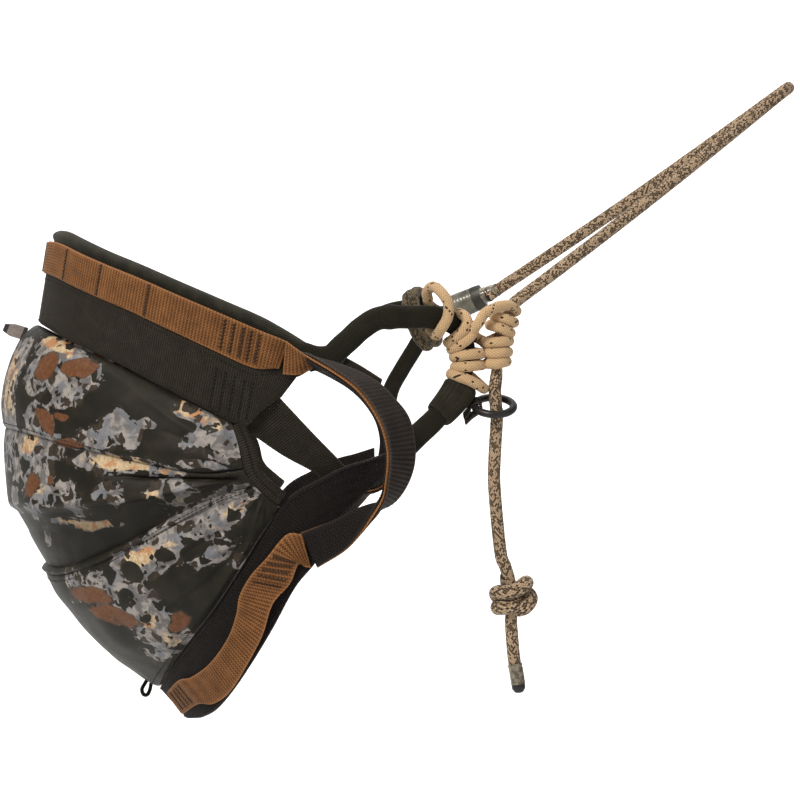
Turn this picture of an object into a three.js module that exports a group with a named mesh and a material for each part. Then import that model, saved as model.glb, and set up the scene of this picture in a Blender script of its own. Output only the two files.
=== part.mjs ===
// Tree saddle: a padded waist belt and a pleated fabric seat hung from webbing,
// with a rope bridge between two sewn loops, a friction hitch, a hanging tail
// with a stopper knot, and two webbing side loops.
//
// Millimetres, +Z up.  +X points to the wearer's front, +Y to the wearer's
// left, and the wearer's body stands on the Z axis side of the lumbar face.
// The origin is on the inner face of the belt pad at the middle of the back.
import * as THREE from 'three';
import { mergeVertices } from 'three/addons/utils/BufferGeometryUtils.js';

// ---------------------------------------------------------------- dimensions
const PAD_OUT = -3.0;          // belt pad, outer face below the webbing face
const PAD_IN = -9.0;           // belt pad, inner face
const BELT_WEB_IN = -2.7;      // wide belt webbing, inner face
const DAISY_IN = 0.6;          // 25 mm webbing on the belt, inner face
const DAISY_OUT = 2.6;
const DAISY_TOP = 0.13;        // place of the 25 mm webbing across the belt
const DAISY_LOW = 0.47;
const PANEL_THICK = 3.0;       // padded seat cloth
const LINING_IN = -6.4;
const LINING_OUT = -4.4;
const LEG_WEB_IN = -2.5;       // 50 mm seat webbing
const RISER_THICK = 2.4;
const GEAR_THICK = 1.8;        // 25 mm webbing sewn to the seat webbing
const LOOP_WIDE = 17.0;        // tubular bridge loops, across
const LOOP_THICK = 12.0;
const FAR_LOOP_WIDE = 13.0;
const FAR_LOOP_THICK = 11.0;
const LINEMAN_THICK = 7.0;     // three layers of 25 mm webbing
const ROPE_D = 9.5;            // bridge rope
const CORD_D = 8.0;            // hitch cord
const APEX_R = 11.0;           // bend of the bridge rope at its middle
const RING_R = 14.0;           // keeper ring, to the middle of its bar
const RING_BAR = 2.5;
const RING_TILT = 26;          // degrees, front edge low
const KNOT = [17.0, 13.5, 13.5];

// ------------------------------------------------------- fitted control points
// Rows run from the middle of the back to the wearer's right hip and front.
const BELT_TOP = [
  [-3.5, -0, 37.4], [-0.4, -27.5, 36.3], [8.8, -54, 33.4], [23.8, -78.3, 25.7], [44, -99.7, 16],
  [68.6, -117.2, 5.7], [96.7, -130.3, -6.7], [127.1, -138.3, -19.7], [158.8, -141, -33.3],
  [179.2, -139, -44.2], [199.7, -135, -57.2],
];
const BELT_LOW = [
  [-15, -0, -34.7], [-12, -28.3, -36.3], [-2.9, -55.5, -41.3], [11.7, -80.6, -49.3],
  [31.4, -102.5, -58.2], [55.5, -120.6, -69.3], [82.9, -134, -83.6], [112.6, -142.2, -98.8],
  [143.6, -145, -113.4], [158.8, -144, -102.5], [172.6, -140, -93.1],
];
const SEAT = [
[
  [-15, -0, -34.7], [-12, -28.3, -36.3], [-2.9, -55.5, -41.3], [11.7, -80.6, -49.3],
  [31.4, -102.5, -58.2], [55.5, -120.6, -69.3], [82.9, -134, -83.6], [112.6, -142.2, -98.8],
  [143.6, -145, -113.4],
],
[
  [-27.3, -0, -50.2], [-24, -28.9, -51.5], [-14, -56.6, -55.4], [2.1, -82.2, -62.1],
  [23.8, -104.7, -70.2], [50.3, -123.1, -79.7], [80.4, -136.7, -92.3], [113.2, -145.2, -106.4],
  [147.2, -148, -121.4],
],
[
  [-38.1, -0, -82.7], [-34.4, -29.5, -83.4], [-23.6, -57.8, -85.6], [-6.1, -83.9, -89.5],
  [17.5, -106.8, -95.1], [46.2, -125.6, -102.5], [79, -139.5, -112.1], [114.6, -148.1, -122.3],
  [151.6, -151, -130.8],
],
[
  [-41.2, -0, -115.8], [-37.4, -29.8, -116.3], [-26.2, -58.6, -118.4], [-8.1, -85, -122.6],
  [16.4, -108.2, -129], [46.1, -127.2, -135.5], [80.1, -141.4, -142.5], [116.9, -150.1, -147.7],
  [155.3, -153, -143],
],
[
  [-32.7, -0, -171.4], [-29, -29.7, -171.1], [-18.1, -58.2, -170.7], [-0.4, -84.4, -170.5],
  [23.4, -107.5, -169], [52.4, -126.4, -166.7], [85.6, -140.4, -161.9], [121.5, -149.1, -154.9],
  [158.9, -152, -150.3],
],
[
  [-10.4, -0, -222.9], [-7.1, -29.5, -223.5], [2.8, -57.8, -223.5], [18.9, -83.9, -219.2],
  [40.4, -106.8, -209.7], [66.8, -125.6, -196.3], [96.8, -139.5, -179.6],
  [129.3, -148.1, -164.5], [163.2, -151, -155.4],
],
[
  [31.2, -0, -275.8], [33.9, -29.1, -274.1], [41.8, -57, -269.3], [54.6, -82.8, -261.4],
  [71.8, -105.4, -248.6], [92.8, -123.9, -230.2], [116.7, -137.7, -206.8],
  [142.7, -146.1, -182.1], [169.7, -149, -160.6],
],
[
  [78.3, -0, -317.2], [80.2, -28.3, -313.2], [85.8, -55.5, -302.4], [94.9, -80.6, -287.5],
  [107.2, -102.5, -270.5], [122.2, -120.6, -250.3], [139.2, -134, -224.4],
  [157.7, -142.2, -194.4], [177, -145, -165.8],
],
];
const LEG_TOP = [
  [78.3, -0, -317.2], [80.2, -28.3, -313.2], [85.8, -55.5, -302.4], [94.9, -80.6, -287.5],
  [107.2, -102.5, -270.5], [122.2, -120.6, -250.3], [139.2, -134, -224.4],
  [157.7, -142.2, -194.4], [177, -145, -165.8], [199.6, -142, -152.1], [219.4, -136, -142.8],
  [235, -129, -138.5], [250, -121, -133.6],
];
const LEG_LOW = [
  [99.2, -0, -340.1], [100.8, -27.9, -339.1], [105.6, -54.7, -336.6], [113.4, -79.4, -332.7],
  [123.9, -101.1, -324.4], [136.7, -118.9, -308.3], [151.3, -132.1, -286.1],
  [167.1, -140.3, -259.9], [183.5, -143, -230.7], [199.6, -142, -211.1], [215, -137, -182.9],
  [232, -130, -165.7], [250, -121, -151.3],
];
const GEAR_IN = [
  [86.2, -45.6, -316.7], [96.1, -77, -304.7], [106.1, -94.5, -300.6], [120.6, -116.5, -288.2],
  [133.7, -132.7, -268.8], [140, -139.6, -251.2], [142.6, -140.8, -236.9],
  [150.5, -142.2, -222.4], [161.6, -145.1, -209.9], [176.3, -146.4, -192.6],
  [187.9, -146.6, -191.9],
];
const GEAR_OUT = [
  [98.2, -49.1, -333.1], [111.3, -90.3, -321.2], [122.8, -107.3, -319.2],
  [135.5, -124.1, -308.3], [149.1, -138.6, -285.6], [159.4, -145.8, -264.8],
  [166.6, -147.5, -242.8], [179.1, -146.6, -228.1], [185, -146.6, -214.4],
  [190.1, -146.6, -215.9], [194.4, -146.6, -216.6],
];
const LINE_E1 = [
  [176.3, -147, -52.4], [184.2, -153, -58.3], [194.3, -158, -64.9], [210, -166, -74.3],
  [225, -172, -85.2], [235.6, -176, -97.4], [244.2, -178, -112.4], [248.5, -178, -127.5],
  [249.2, -177, -139.7], [247.9, -174, -153.4], [245.2, -170, -166.5], [234.6, -163, -184],
  [220.3, -157, -201.6], [198.7, -154, -215.5],
];
const LINE_E2 = [
  [174.1, -148, -75.6], [186.4, -148, -75.6], [201.7, -143, -68.3], [222.7, -148, -73.4],
  [241.4, -155, -82.9], [253.5, -160, -94.5], [263.6, -162, -107.5], [267.9, -162, -124.9],
  [267.3, -160, -142.3], [260.9, -156, -158.3], [250.3, -151, -169.3], [230.6, -152, -173.6],
  [211.7, -153, -181.5], [187.1, -154, -190.8],
];
const NEAR_LOOP = [
  [209.3, -130, -62.3], [216.6, -129, -55.6], [223.3, -128, -49.7], [232.2, -125, -41.6],
  [245.6, -120, -34.1], [268.1, -112, -33.1], [289.3, -105, -33.6], [303, -99, -39.3],
  [310.7, -96, -52], [311.5, -95, -66.9], [307.7, -96, -82.6], [299.4, -98, -95.3],
  [286.4, -103, -109.4], [272.7, -108, -122], [259.3, -111, -135.2],
];
const FAR_LOOP = [
  [217.6, 131, -55.7], [229.9, 128, -45.9], [241.3, 122, -33.6], [258.3, 115, -23.1],
  [275.1, 106, -19.3], [288.6, 98, -20.3], [294.2, 95, -27.8], [290.2, 96, -37.5],
  [282.1, 99, -52.1], [271.8, 104, -69.2], [263, 110, -86.3], [260.6, 112, -104.4],
  [263.1, 112, -124], [265.5, 112, -137.1],
];
const RISER_A = [
  [174.1, -137, -95.2], [196.1, -132, -118.7], [219.6, -126, -143], [224.8, -124, -150.4],
];
const RISER_B = [
  [147.9, -137, -117.1], [173.4, -132, -134.8], [198.3, -127, -148.8], [202.8, -125, -157],
];
const FRISER_A = [
  [218.6, 140, -54.7], [238.2, 131, -65.6], [256, 120, -77.2],
];
const FRISER_B = [
  [213.6, 140, -68], [233.3, 131, -79.7], [251.9, 120, -91.2],
];
const APEX = [570.3, 0, 150.3];
const ROPE_NEAR_END = [
  [347.4, -87, -21.7], [340.4, -90, -33.1], [337.2, -92, -47.4], [335.7, -93, -60.9],
  [334.8, -94, -73.6],
];
const TAIL = [
  [334.8, -94, -73.6], [332.5, -94.5, -87], [333.3, -95, -100.5], [334, -95, -105.7],
  [332.5, -95, -131.9], [331.8, -95, -154.3], [334, -95, -184.2], [337, -95, -210.4],
  [341.5, -95, -223.8],
];
const KNOT_AT = [346.7, -95, -241];
const TAIL_END = [
  [344.5, -95, -257.5], [345.2, -95, -270.9], [346.7, -95, -287.4], [349, -95, -300.9],
  [350.5, -95, -311.3],
];
const FAR_ROPE = [
  [307, 92, -21.3], [315, 89, -19], [332.5, 84, -11.8], [348.3, 78, -5.1],
];
const RING_AT = [331.8, -95, -99];
const LABEL_AT = [-32.5, -8, -41];
const BTAB_AT = [67.5, -6, -319.5];
const FLINE_E1 = [
  [176.3, 147, -52.4], [184.7, 153, -57.8], [196.2, 158, -64], [214, 166, -73],
  [231.1, 172, -83.6], [243.5, 176, -95.5], [253.1, 178, -110.4], [257.4, 178, -125.5],
  [257.1, 177, -137.8], [254, 174, -151.8], [249.2, 170, -165.2], [236.5, 163, -183.1],
  [220.8, 157, -201.1], [198.7, 154, -215.5],
];
const FLINE_E2 = [
  [174.1, 148, -75.6], [186.9, 148, -75.1], [203.6, 143, -67.4], [226.7, 148, -72.1],
  [247.5, 155, -81.3], [261.4, 160, -92.6], [272.5, 162, -105.5], [276.8, 162, -122.9],
  [275.2, 160, -140.4], [267, 156, -156.7], [254.3, 151, -168], [232.5, 152, -172.7],
  [212.2, 153, -181], [187.1, 154, -190.8],
];
const FAR_HITCH = [
  [283.4, 100, -32.3], [287.8, 97.5, -30.1], [292.2, 95, -28],
];
const HITCH_NECK = [
  [312.4, -114.5, -42.7], [318.4, -113.5, -39], [324.6, -110, -35.2], [329.3, -108, -33.6],
];

// ---------------------------------------------------------------- mathematics
const V = (p) => new THREE.Vector3(p[0], p[1], p[2]);
const mirrorY = (rows) => rows.map((p) => [p[0], -p[1], p[2]]);

function cr(P, t) {
  const n = P.length - 1;
  t = Math.min(Math.max(t, 0), n);
  const i = Math.min(Math.floor(t), n - 1);
  const f = t - i;
  const p1 = P[i], p2 = P[i + 1];
  const p0 = i > 0 ? P[i - 1] : p1.map((v, k) => 2 * v - p2[k]);
  const p3 = i + 2 <= n ? P[i + 2] : p2.map((v, k) => 2 * v - p1[k]);
  return p1.map((_, k) => 0.5 * (2 * p1[k] + (p2[k] - p0[k]) * f
    + (2 * p0[k] - 5 * p1[k] + 4 * p2[k] - p3[k]) * f * f
    + (3 * p1[k] - p0[k] - 3 * p2[k] + p3[k]) * f * f * f));
}

// A row mirrored about the middle: index 0 is the far end, n the middle.
const both = (row) => [...mirrorY(row.slice(1)).reverse(), ...row];

function strip(topRow, lowRow) {
  const A = both(topRow), B = both(lowRow), n = topRow.length - 1;
  return (a, t) => {
    const p = cr(A, a + n), q = cr(B, a + n);
    return p.map((v, k) => v + (q[k] - v) * t);
  };
}

function rings(rows) {
  const R = rows.map(both), n = rows[0].length - 1;
  return (a, t) => cr(R.map((r) => cr(r, a + n)), t);
}

const belt = strip(BELT_TOP, BELT_LOW);
const seat = rings(SEAT);
const leg = strip(LEG_TOP, LEG_LOW);

function normal(f, a, t) {
  const e = 0.02;
  const du = V(f(a + e, t)).sub(V(f(a - e, t)));
  const dv = V(f(a, t + e)).sub(V(f(a, t - e)));
  const n = du.cross(dv).normalize();
  const p = V(f(a, t));
  if (n.dot(p.clone().sub(new THREE.Vector3(150, 0, p.z + 40))) < 0) n.negate();
  return n;
}

// ------------------------------------------------------------- solid builders
function solid(points, faces) {
  const g = new THREE.BufferGeometry();
  g.setAttribute('position', new THREE.Float32BufferAttribute(points.flat(), 3));
  let vol = 0;
  for (const [a, b, c] of faces) vol += V(points[a]).dot(V(points[b]).cross(V(points[c])));
  const idx = vol < 0 ? faces.map(([a, b, c]) => [a, c, b]) : faces;
  g.setIndex(idx.flat());
  return mergeVertices(g, 1e-4);
}

// Cloth or webbing between two offsets of a surface.
function shell(f, a0, a1, nu, t0, t1, nv, o0, o1) {
  const pts = [], faces = [];
  const id = (s, i, j) => s * (nu + 1) * (nv + 1) + i * (nv + 1) + j;
  for (const o of [o0, o1]) {
    for (let i = 0; i <= nu; i++) {
      for (let j = 0; j <= nv; j++) {
        const a = a0 + (a1 - a0) * i / nu, t = t0 + (t1 - t0) * j / nv;
        const p = V(f(a, t)).addScaledVector(normal(f, a, t), o);
        pts.push(p.toArray());
      }
    }
  }
  for (let i = 0; i < nu; i++) {
    for (let j = 0; j < nv; j++) {
      const q = [id(0, i, j), id(0, i + 1, j), id(0, i + 1, j + 1), id(0, i, j + 1)];
      const r = [id(1, i, j), id(1, i + 1, j), id(1, i + 1, j + 1), id(1, i, j + 1)];
      faces.push([q[0], q[2], q[1]], [q[0], q[3], q[2]], [r[0], r[1], r[2]], [r[0], r[2], r[3]]);
    }
  }
  for (let i = 0; i < nu; i++) {
    for (const [j, flip] of [[0, false], [nv, true]]) {
      const a = id(0, i, j), b = id(0, i + 1, j), c = id(1, i + 1, j), d = id(1, i, j);
      faces.push(...(flip ? [[a, c, b], [a, d, c]] : [[a, b, c], [a, c, d]]));
    }
  }
  for (let j = 0; j < nv; j++) {
    for (const [i, flip] of [[0, true], [nu, false]]) {
      const a = id(0, i, j), b = id(0, i, j + 1), c = id(1, i, j + 1), d = id(1, i, j);
      faces.push(...(flip ? [[a, c, b], [a, d, c]] : [[a, b, c], [a, c, d]]));
    }
  }
  return solid(pts, faces);
}

// A skin over a row of closed sections, with an optional hole along it.
function loft(outer, inner = null) {
  const pts = [], faces = [], m = outer[0].length, n = outer.length;
  for (const s of outer) pts.push(...s);
  const base = pts.length;
  if (inner) for (const s of inner) pts.push(...s);
  const O = (i, j) => i * m + (j % m), I = (i, j) => base + i * m + (j % m);
  for (let i = 0; i < n - 1; i++) {
    for (let j = 0; j < m; j++) {
      faces.push([O(i, j), O(i, j + 1), O(i + 1, j + 1)], [O(i, j), O(i + 1, j + 1), O(i + 1, j)]);
      if (inner) faces.push([I(i, j), I(i + 1, j + 1), I(i, j + 1)], [I(i, j), I(i + 1, j), I(i + 1, j + 1)]);
    }
  }
  if (inner) {
    for (let j = 0; j < m; j++) {
      faces.push([O(0, j), I(0, j + 1), O(0, j + 1)], [O(0, j), I(0, j), I(0, j + 1)]);
      const k = n - 1;
      faces.push([O(k, j), O(k, j + 1), I(k, j + 1)], [O(k, j), I(k, j + 1), I(k, j)]);
    }
  } else {
    for (let j = 1; j < m - 1; j++) {
      faces.push([O(0, 0), O(0, j + 1), O(0, j)]);
      faces.push([O(n - 1, 0), O(n - 1, j), O(n - 1, j + 1)]);
    }
  }
  return solid(pts, faces);
}

// Flat webbing whose two edges follow two rows of points.
function ribbon(rowA, rowB, steps, thick, t0 = 0, t1 = null) {
  const n = rowA.length - 1;
  if (t1 === null) t1 = n;
  const secs = [];
  for (let i = 0; i <= steps; i++) {
    const t = t0 + (t1 - t0) * i / steps, e = 0.01;
    const a = V(cr(rowA, t)), b = V(cr(rowB, t));
    const mid = (s) => V(cr(rowA, s)).add(V(cr(rowB, s))).multiplyScalar(0.5);
    const tan = mid(Math.min(t + e, n)).sub(mid(Math.max(t - e, 0))).normalize();
    const w = b.clone().sub(a);
    const nn = tan.clone().cross(w).normalize().multiplyScalar(thick / 2);
    secs.push([a.clone().add(nn), b.clone().add(nn), b.clone().sub(nn), a.clone().sub(nn)].map((p) => p.toArray()));
  }
  return loft(secs);
}

// Frames along a row of points, with one axis kept near a given direction.
function frames(row, t0, t1, steps, side = [0, 1, 0]) {
  const out = [], n = row.length - 1;
  for (let i = 0; i <= steps; i++) {
    const t = t0 + (t1 - t0) * i / steps, e = 0.02;
    const p = V(cr(row, t));
    const tan = V(cr(row, Math.min(t + e, n))).sub(V(cr(row, Math.max(t - e, 0)))).normalize();
    const u = tan.clone().cross(V(side)).normalize();
    const v = u.clone().cross(tan).normalize();
    out.push({ p, tan, u, v });
  }
  return out;
}

function oval(fr, w, t, sides, power = 1) {
  const pts = [];
  for (let k = 0; k < sides; k++) {
    const a = (k + 0.5) * 2 * Math.PI / sides;
    const c = Math.cos(a), s = Math.sin(a);
    const x = Math.sign(c) * Math.abs(c) ** power * w / 2;
    const y = Math.sign(s) * Math.abs(s) ** power * t / 2;
    pts.push(fr.p.clone().addScaledVector(fr.u, x).addScaledVector(fr.v, y).toArray());
  }
  return pts;
}

function tube(row, steps, w, t = w, sides = 8, side = [0, 1, 0], t0 = 0, t1 = null, power = 1) {
  if (t1 === null) t1 = row.length - 1;
  const size = (x, i) => (typeof x === 'function' ? x(i / steps) : x);
  return loft(frames(row, t0, t1, steps, side).map((f, i) => oval(f, size(w, i), size(t, i), sides, power)));
}

function hollow(row, steps, w, t, wi, ti, sides, side = [0, 1, 0], t0 = 0, t1 = null) {
  if (t1 === null) t1 = row.length - 1;
  const fr = frames(row, t0, t1, steps, side);
  return loft(fr.map((f) => oval(f, w, t, sides)), fr.map((f) => oval(f, wi, ti, sides)));
}

// ------------------------------------------------------------------ materials
const mat = (color, roughness = 0.9, metalness = 0) => new THREE.MeshStandardMaterial({ color, roughness, metalness });
const DARK = mat(0x2b2a22), BROWN = mat(0x8f6136), CAMO = mat(0x4a4438), LINER = mat(0x24241f);
const ROPE = mat(0xb39a78), TAN = mat(0xd8b083), CLEAR = mat(0x8f8c80, 0.4), BLACK = mat(0x151515, 0.45), LABEL_M = mat(0x8a8378);

const group = new THREE.Group();
function add(name, geometry, material) {
  const m = new THREE.Mesh(geometry, material);
  m.name = name;
  group.add(m);
  return m;
}

// ----------------------------------------------------------------- waist belt
add('belt_pad', shell(belt, -10, 10, 29, 0, 1, 1, PAD_IN, PAD_OUT), DARK);
add('belt_webbing', shell(belt, -10, 10, 29, 0.2, 1, 1, BELT_WEB_IN, 0), DARK);
add('belt_daisy_chain', shell(belt, -9.08, 9.08, 25, DAISY_TOP, DAISY_LOW, 1, DAISY_IN, DAISY_OUT), BROWN);

// ----------------------------------------------------------------- seat cloth
add('seat_panel_upper', shell(seat, -7.76, 7.76, 25, 0.12, 2.99, 4, -PANEL_THICK, 0), CAMO);
add('seat_panel_middle', shell(seat, -7.76, 7.76, 25, 3.01, 4.99, 4, -PANEL_THICK, 0), CAMO);
add('seat_panel_lower', shell(seat, -7.76, 7.76, 25, 5.01, 6.96, 4, -PANEL_THICK, 0), CAMO);
add('seat_lining', shell(seat, -7.76, 7.76, 25, 0.3, 6.8, 7, LINING_IN, LINING_OUT), LINER);
add('near_hip_binding', shell(seat, 7.8, 8, 1, 0.2, 6.6, 7, -5.6, 1), DARK);
add('far_hip_binding', shell(seat, -8, -7.8, 1, 0.2, 6.6, 7, -5.6, 1), DARK);

// --------------------------------------------------------------- seat webbing
add('seat_webbing', shell(leg, -12, 12, 32, 0.02, 1, 2, LEG_WEB_IN, 0), DARK);
add('near_riser', ribbon(RISER_A, RISER_B, 6, RISER_THICK), DARK);
add('far_riser', ribbon(FRISER_A, FRISER_B, 5, RISER_THICK), DARK);
add('near_gear_loop', ribbon(GEAR_IN, GEAR_OUT, 22, GEAR_THICK), BROWN);
add('far_gear_loop', ribbon(mirrorY(GEAR_IN), mirrorY(GEAR_OUT), 22, GEAR_THICK), BROWN);

// ----------------------------------------------------------------- side loops
add('near_lineman_loop', ribbon(LINE_E1, LINE_E2, 26, LINEMAN_THICK), DARK);
add('far_lineman_loop', ribbon(FLINE_E1, FLINE_E2, 26, LINEMAN_THICK), DARK);

// --------------------------------------------------------------- bridge loops
add('near_bridge_loop', tube(NEAR_LOOP, 40, (s) => LOOP_WIDE - 3.5 * Math.exp(-(((s - 0.62) / 0.14) ** 2)), LOOP_THICK, 10), DARK);
add('near_loop_sleeve', hollow(NEAR_LOOP, 5, 25, 18.5, LOOP_WIDE + 1.4, LOOP_THICK + 1.4, 12, [0, 1, 0], 9.95, 11.7), DARK);
add('far_bridge_loop', tube(FAR_LOOP, 34, FAR_LOOP_WIDE, FAR_LOOP_THICK, 10), DARK);

// --------------------------------------------------- friction hitch and ropes
add('hitch_loop_wraps', hollow(NEAR_LOOP, 7, LOOP_WIDE + 8, LOOP_THICK + 13, LOOP_WIDE - 0.7, LOOP_THICK + 1.2, 14, [0, 1, 0], 7.3, 9.9), TAN);
add('hitch_rope_wraps', hollow(ROPE_NEAR_END, 6, 23, 26, ROPE_D + 1.4, ROPE_D + 1.4, 14, [0, 1, 0], 0.35, 3.7), TAN);
add('hitch_neck', tube(HITCH_NECK, 5, CORD_D, CORD_D, 8), TAN);
add('rope_through_hitch', tube([...ROPE_NEAR_END.slice(0, 4), ...TAIL.slice(0, 3)], 16, ROPE_D, ROPE_D, 10, [0, 1, 0], 0.12, 5.9), ROPE);

const legDir = V(APEX).sub(V(FAR_ROPE[3]).add(V(ROPE_NEAR_END[0])).multiplyScalar(0.5)).normalize();
const apexC = V(APEX).addScaledVector(legDir, -APEX_R);
const bridgeRow = [];
const legStart = V(FAR_ROPE[3]), farTurn = apexC.clone().add(new THREE.Vector3(0, APEX_R, 0));
const nearTurn = apexC.clone().add(new THREE.Vector3(0, -APEX_R, 0)), legEnd = V(ROPE_NEAR_END[0]);
for (let i = 0; i <= 8; i++) bridgeRow.push(legStart.clone().lerp(farTurn, i / 8).toArray());
for (let i = 1; i < 6; i++) {
  const a = Math.PI * i / 6;
  bridgeRow.push(apexC.clone().add(new THREE.Vector3(0, APEX_R * Math.cos(a), 0)).addScaledVector(legDir, APEX_R * Math.sin(a)).toArray());
}
for (let i = 0; i <= 8; i++) bridgeRow.push(nearTurn.clone().lerp(legEnd, i / 8).toArray());
add('bridge_rope', tube(bridgeRow, 50, ROPE_D, ROPE_D, 10, [0.3, 0.1, -1], 0.08, bridgeRow.length - 1.03), ROPE);

add('far_rope_hitch', hollow(FAR_HITCH, 2, 57, 41, 48, 29.5, 16, [0, 1, 0]), ROPE);
add('far_eye_sleeve', tube(FAR_ROPE, 4, 20, 14, 10, [0, 1, 0], 0.1, 1.85), CLEAR);
add('far_eye_band', tube(FAR_ROPE, 2, 21, 15, 10, [0, 1, 0], 1.87, 2.15), BLACK);
add('far_eye_shrink', tube(FAR_ROPE, 3, (s) => 15 - 3 * s, (s) => 13 - 1.5 * s, 10, [0, 1, 0], 2.18, 2.98), CLEAR);

// ----------------------------------------------------------- tail and stopper
add('tail_rope', tube(TAIL, 20, ROPE_D, ROPE_D, 10, [0, 1, 0], 2.1, 8), ROPE);
const knot = new THREE.SphereGeometry(1, 14, 9);
knot.deleteAttribute('normal');
knot.deleteAttribute('uv');
knot.scale(KNOT[0], KNOT[1], KNOT[2]);
knot.translate(KNOT_AT[0], KNOT_AT[1], KNOT_AT[2]);
add('stopper_knot', mergeVertices(knot, 1e-3), ROPE);
add('tail_end', tube(TAIL_END, 8, ROPE_D, ROPE_D, 10, [0, 1, 0], 0, 2.28), ROPE);
add('tail_sleeve', tube(TAIL_END, 3, ROPE_D + 2, ROPE_D + 2, 10, [0, 1, 0], 2.32, 3.5), CLEAR);
add('tail_tip', tube(TAIL_END, 2, ROPE_D + 0.5, ROPE_D + 0.5, 10, [0, 1, 0], 3.54, 4), BLACK);

// ---------------------------------------------------------------- keeper ring
const ring = new THREE.TorusGeometry(RING_R, RING_BAR, 8, 28);
ring.deleteAttribute('normal');
ring.deleteAttribute('uv');
ring.rotateX(THREE.MathUtils.degToRad(RING_TILT));
ring.translate(RING_AT[0], RING_AT[1], RING_AT[2]);
add('keeper_ring', mergeVertices(ring, 1e-3), BLACK);
const tabRow = [[-8.6, -7.6], [-5, -3.2], [-4.2, 0], [-2.7, 2.8], [0, 4.2], [3.1, 3.1], [4.4, 0], [3.2, -3.2], [0.2, -5], [-3.4, -7.6], [-7.6, -11.6]];
const tabMid = tabRow.map(([x, z]) => [RING_AT[0] - RING_R + x, RING_AT[1], RING_AT[2] + z]);
const tabRise = 4 * Math.tan(THREE.MathUtils.degToRad(RING_TILT));
const tabA = tabMid.map((p) => [p[0], p[1] - 4, p[2] - tabRise]), tabB = tabMid.map((p) => [p[0], p[1] + 4, p[2] + tabRise]);
add('keeper_tab', ribbon(tabA, tabB, 18, 1.2), DARK);

// --------------------------------------------------------------- small pieces
const label = new THREE.BoxGeometry(18, 1.6, 11);
label.rotateX(-0.5);
label.rotateY(0.35);
add('side_label', label, LABEL_M).position.set(LABEL_AT[0], LABEL_AT[1], LABEL_AT[2]);
const pull = new THREE.BoxGeometry(9, 8, 7);
add('hem_pull_tab', pull, DARK).position.set(BTAB_AT[0], BTAB_AT[1], BTAB_AT[2]);

export default group;
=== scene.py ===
import math
import bpy
import numpy as np
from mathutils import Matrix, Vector


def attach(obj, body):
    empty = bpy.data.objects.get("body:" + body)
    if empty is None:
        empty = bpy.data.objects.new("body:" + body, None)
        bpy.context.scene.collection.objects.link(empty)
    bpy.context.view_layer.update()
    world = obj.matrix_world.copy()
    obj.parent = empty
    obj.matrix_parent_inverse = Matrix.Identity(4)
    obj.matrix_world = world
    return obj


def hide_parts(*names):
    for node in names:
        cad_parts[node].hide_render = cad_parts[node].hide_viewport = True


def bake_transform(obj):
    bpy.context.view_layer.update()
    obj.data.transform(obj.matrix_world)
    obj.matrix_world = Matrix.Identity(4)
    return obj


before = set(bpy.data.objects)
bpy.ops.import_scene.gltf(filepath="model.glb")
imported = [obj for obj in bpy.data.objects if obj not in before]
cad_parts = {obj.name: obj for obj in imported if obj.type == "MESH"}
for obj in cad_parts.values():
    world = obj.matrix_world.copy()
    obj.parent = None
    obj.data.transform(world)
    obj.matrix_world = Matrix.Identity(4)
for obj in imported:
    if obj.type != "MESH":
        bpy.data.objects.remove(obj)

scene = bpy.context.scene
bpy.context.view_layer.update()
S = 0.001                                # tables and maths are in millimetres, objects in metres

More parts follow.
